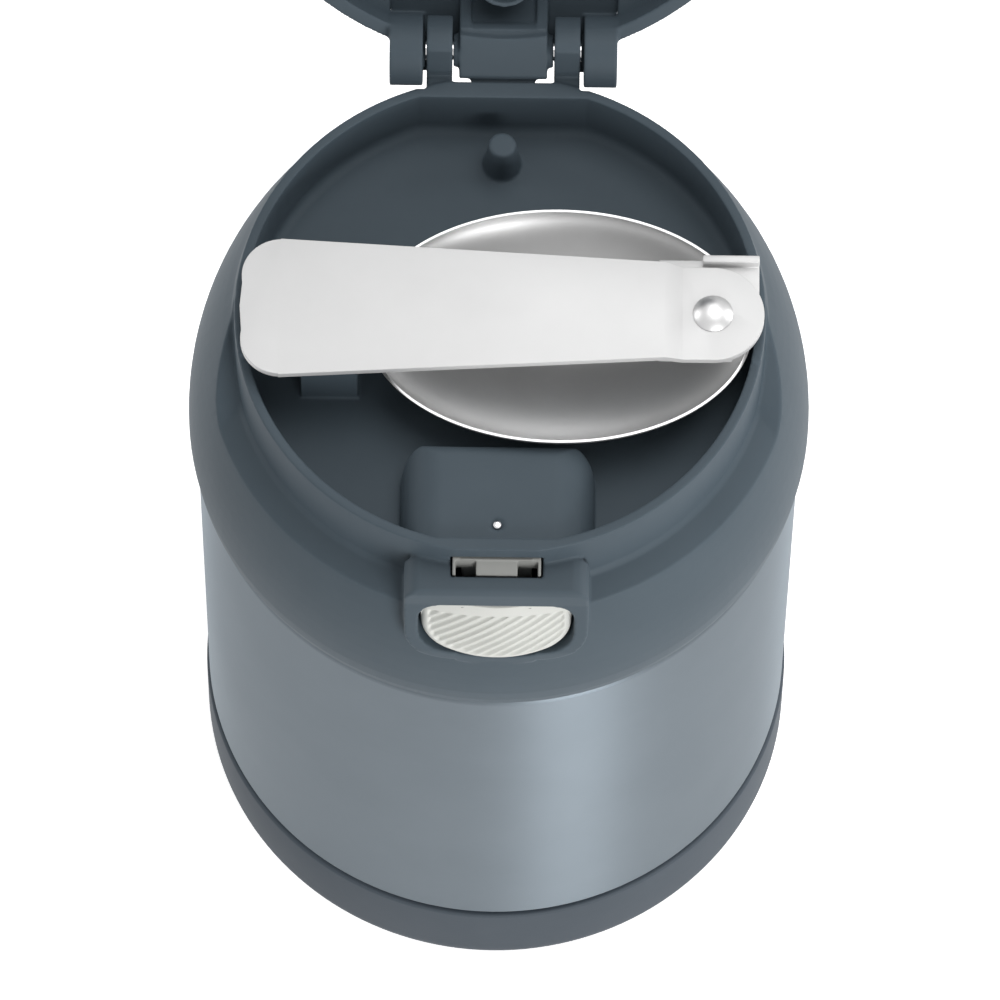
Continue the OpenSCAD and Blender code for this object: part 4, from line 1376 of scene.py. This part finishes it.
@dataclass
class Studio:
    """Camera at the photograph's angle, soft lamps, pale floor and white surroundings.

    The limits of the view, near and far, and half the width of the floor are in metres.
    """

    elevation: float = 64.5
    roll: float = -0.0130
    position: Point3 = (0.368, -651.2, 1443.6)
    focal_px: float = 9378.65
    picture_px: float = 1000.0
    sensor: float = 36.0
    near: float = 0.05
    far: float = 20.0
    surround: float = 0.24
    floor_half: float = 6.0
    floor_white: float = 0.9
    floor_shade: float = 0.32
    floor_glow: float = 0.72
    lamps: tuple[Lamp, ...] = (
        Lamp("key", (120, 150, 740), (0, 0, 110), 520, 520, 2.1),
        Lamp("back", (20, 500, 560), (0, 0, 130), 300, 300, 0.5),
        Lamp("left_edge", (-600, 170, 260), (0, 0, 60), 200, 420, 1.3),
        Lamp("right_edge", (600, 150, 260), (0, 0, 60), 200, 420, 1.5),
        Lamp("right_front", (230, -580, 240), (0, 0, 60), 260, 420, 3.2),
    )

    def build(self) -> None:
        """Makes the camera, the floor, the world and the lamps."""
        scene = bpy.context.scene
        scene.view_settings.view_transform = "Standard"
        self.camera(scene)
        self.floor()
        self.world(scene)
        for lamp in self.lamps:
            lamp.build()

    def camera(self, scene: bpy.types.Scene) -> None:
        """Places the camera where the photograph was taken from.

        Args:
            scene: The scene that gets the camera.
        """
        data = bpy.data.cameras.new("camera")
        data.sensor_width = self.sensor
        data.lens = self.focal_px / self.picture_px * self.sensor
        data.clip_start, data.clip_end = self.near, self.far
        camera = link("camera", data)
        e, r = math.radians(self.elevation), self.roll
        right, up = Vector((1, 0, 0)), Vector((0, math.sin(e), math.cos(e)))
        back = Vector((0, -math.cos(e), math.sin(e)))
        turned_right = right * math.cos(r) - up * math.sin(r)
        turned_up = right * math.sin(r) + up * math.cos(r)
        basis = Matrix((turned_right, turned_up, back)).transposed().to_4x4()
        camera.matrix_world = Matrix.Translation(Vector(self.position) * MM) @ basis
        scene.camera = camera

    @staticmethod
    def seen_directly(net: Net) -> bpy.types.NodeSocket:
        """A mask that is 1 where the camera, a reflection or a clear piece sees the background.

        Args:
            net: The tree that gets the mask.

        Returns:
            The output that holds it.
        """
        path = net.add("ShaderNodeLightPath").outputs
        mask = path["Is Camera Ray"]
        for ray in ("Is Glossy Ray", "Is Transmission Ray"):
            mask = net.add("ShaderNodeMath", {0: mask, 1: path[ray]}, operation="MAXIMUM").outputs[0]
        return mask

    def floor(self) -> None:
        """A wide white floor that keeps the jar's shadow and is white to the camera."""
        mesh = bpy.data.meshes.new("floor")
        half = self.floor_half
        corners = [(-half, -half, 0), (half, -half, 0), (half, half, 0), (-half, half, 0)]
        mesh.from_pydata(corners, [], [(0, 1, 2, 3)])
        floor = link("floor", mesh)
        material = bpy.data.materials.new("floor_white")
        net = Net.of(material)
        surface = net.add("ShaderNodeBsdfDiffuse", {"Color": grey(self.floor_white)})
        glow = net.add("ShaderNodeEmission", {"Color": grey(1.0), "Strength": self.floor_glow})
        shown = net.add("ShaderNodeAddShader", {0: surface, 1: glow})
        dimmer = net.add("ShaderNodeBsdfDiffuse", {"Color": grey(self.floor_shade)})
        mix = net.add("ShaderNodeMixShader", {0: self.seen_directly(net), 1: dimmer, 2: shown})
        net.add("ShaderNodeOutputMaterial", {"Surface": mix})
        mesh.materials.append(material)

    def world(self, scene: bpy.types.Scene) -> None:
        """Plain soft light from all round, white where the camera or a mirror sees it.

        Args:
            scene: The scene that gets the world.
        """
        scene.world = bpy.data.worlds.new("surroundings")
        net = Net.of(scene.world)
        soft = net.add("ShaderNodeBackground", {"Color": grey(1.0), "Strength": self.surround})
        white = net.add("ShaderNodeBackground", {"Color": grey(1.0), "Strength": 1.0})
        mix = net.add("ShaderNodeMixShader", {0: self.seen_directly(net), 1: soft, 2: white})
        net.add("ShaderNodeOutputWorld", {"Surface": mix})


def main() -> None:
    """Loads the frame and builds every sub-assembly."""
    logging.basicConfig(level=logging.INFO, format="%(name)s: %(message)s")
    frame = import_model()
    dresser = Dresser(frame)
    for assembly in (JarBody, Lid, Latch, Cover, Spoon):
        assembly(dresser).build()
    Studio().build()


if __name__ == "__main__":
    main()
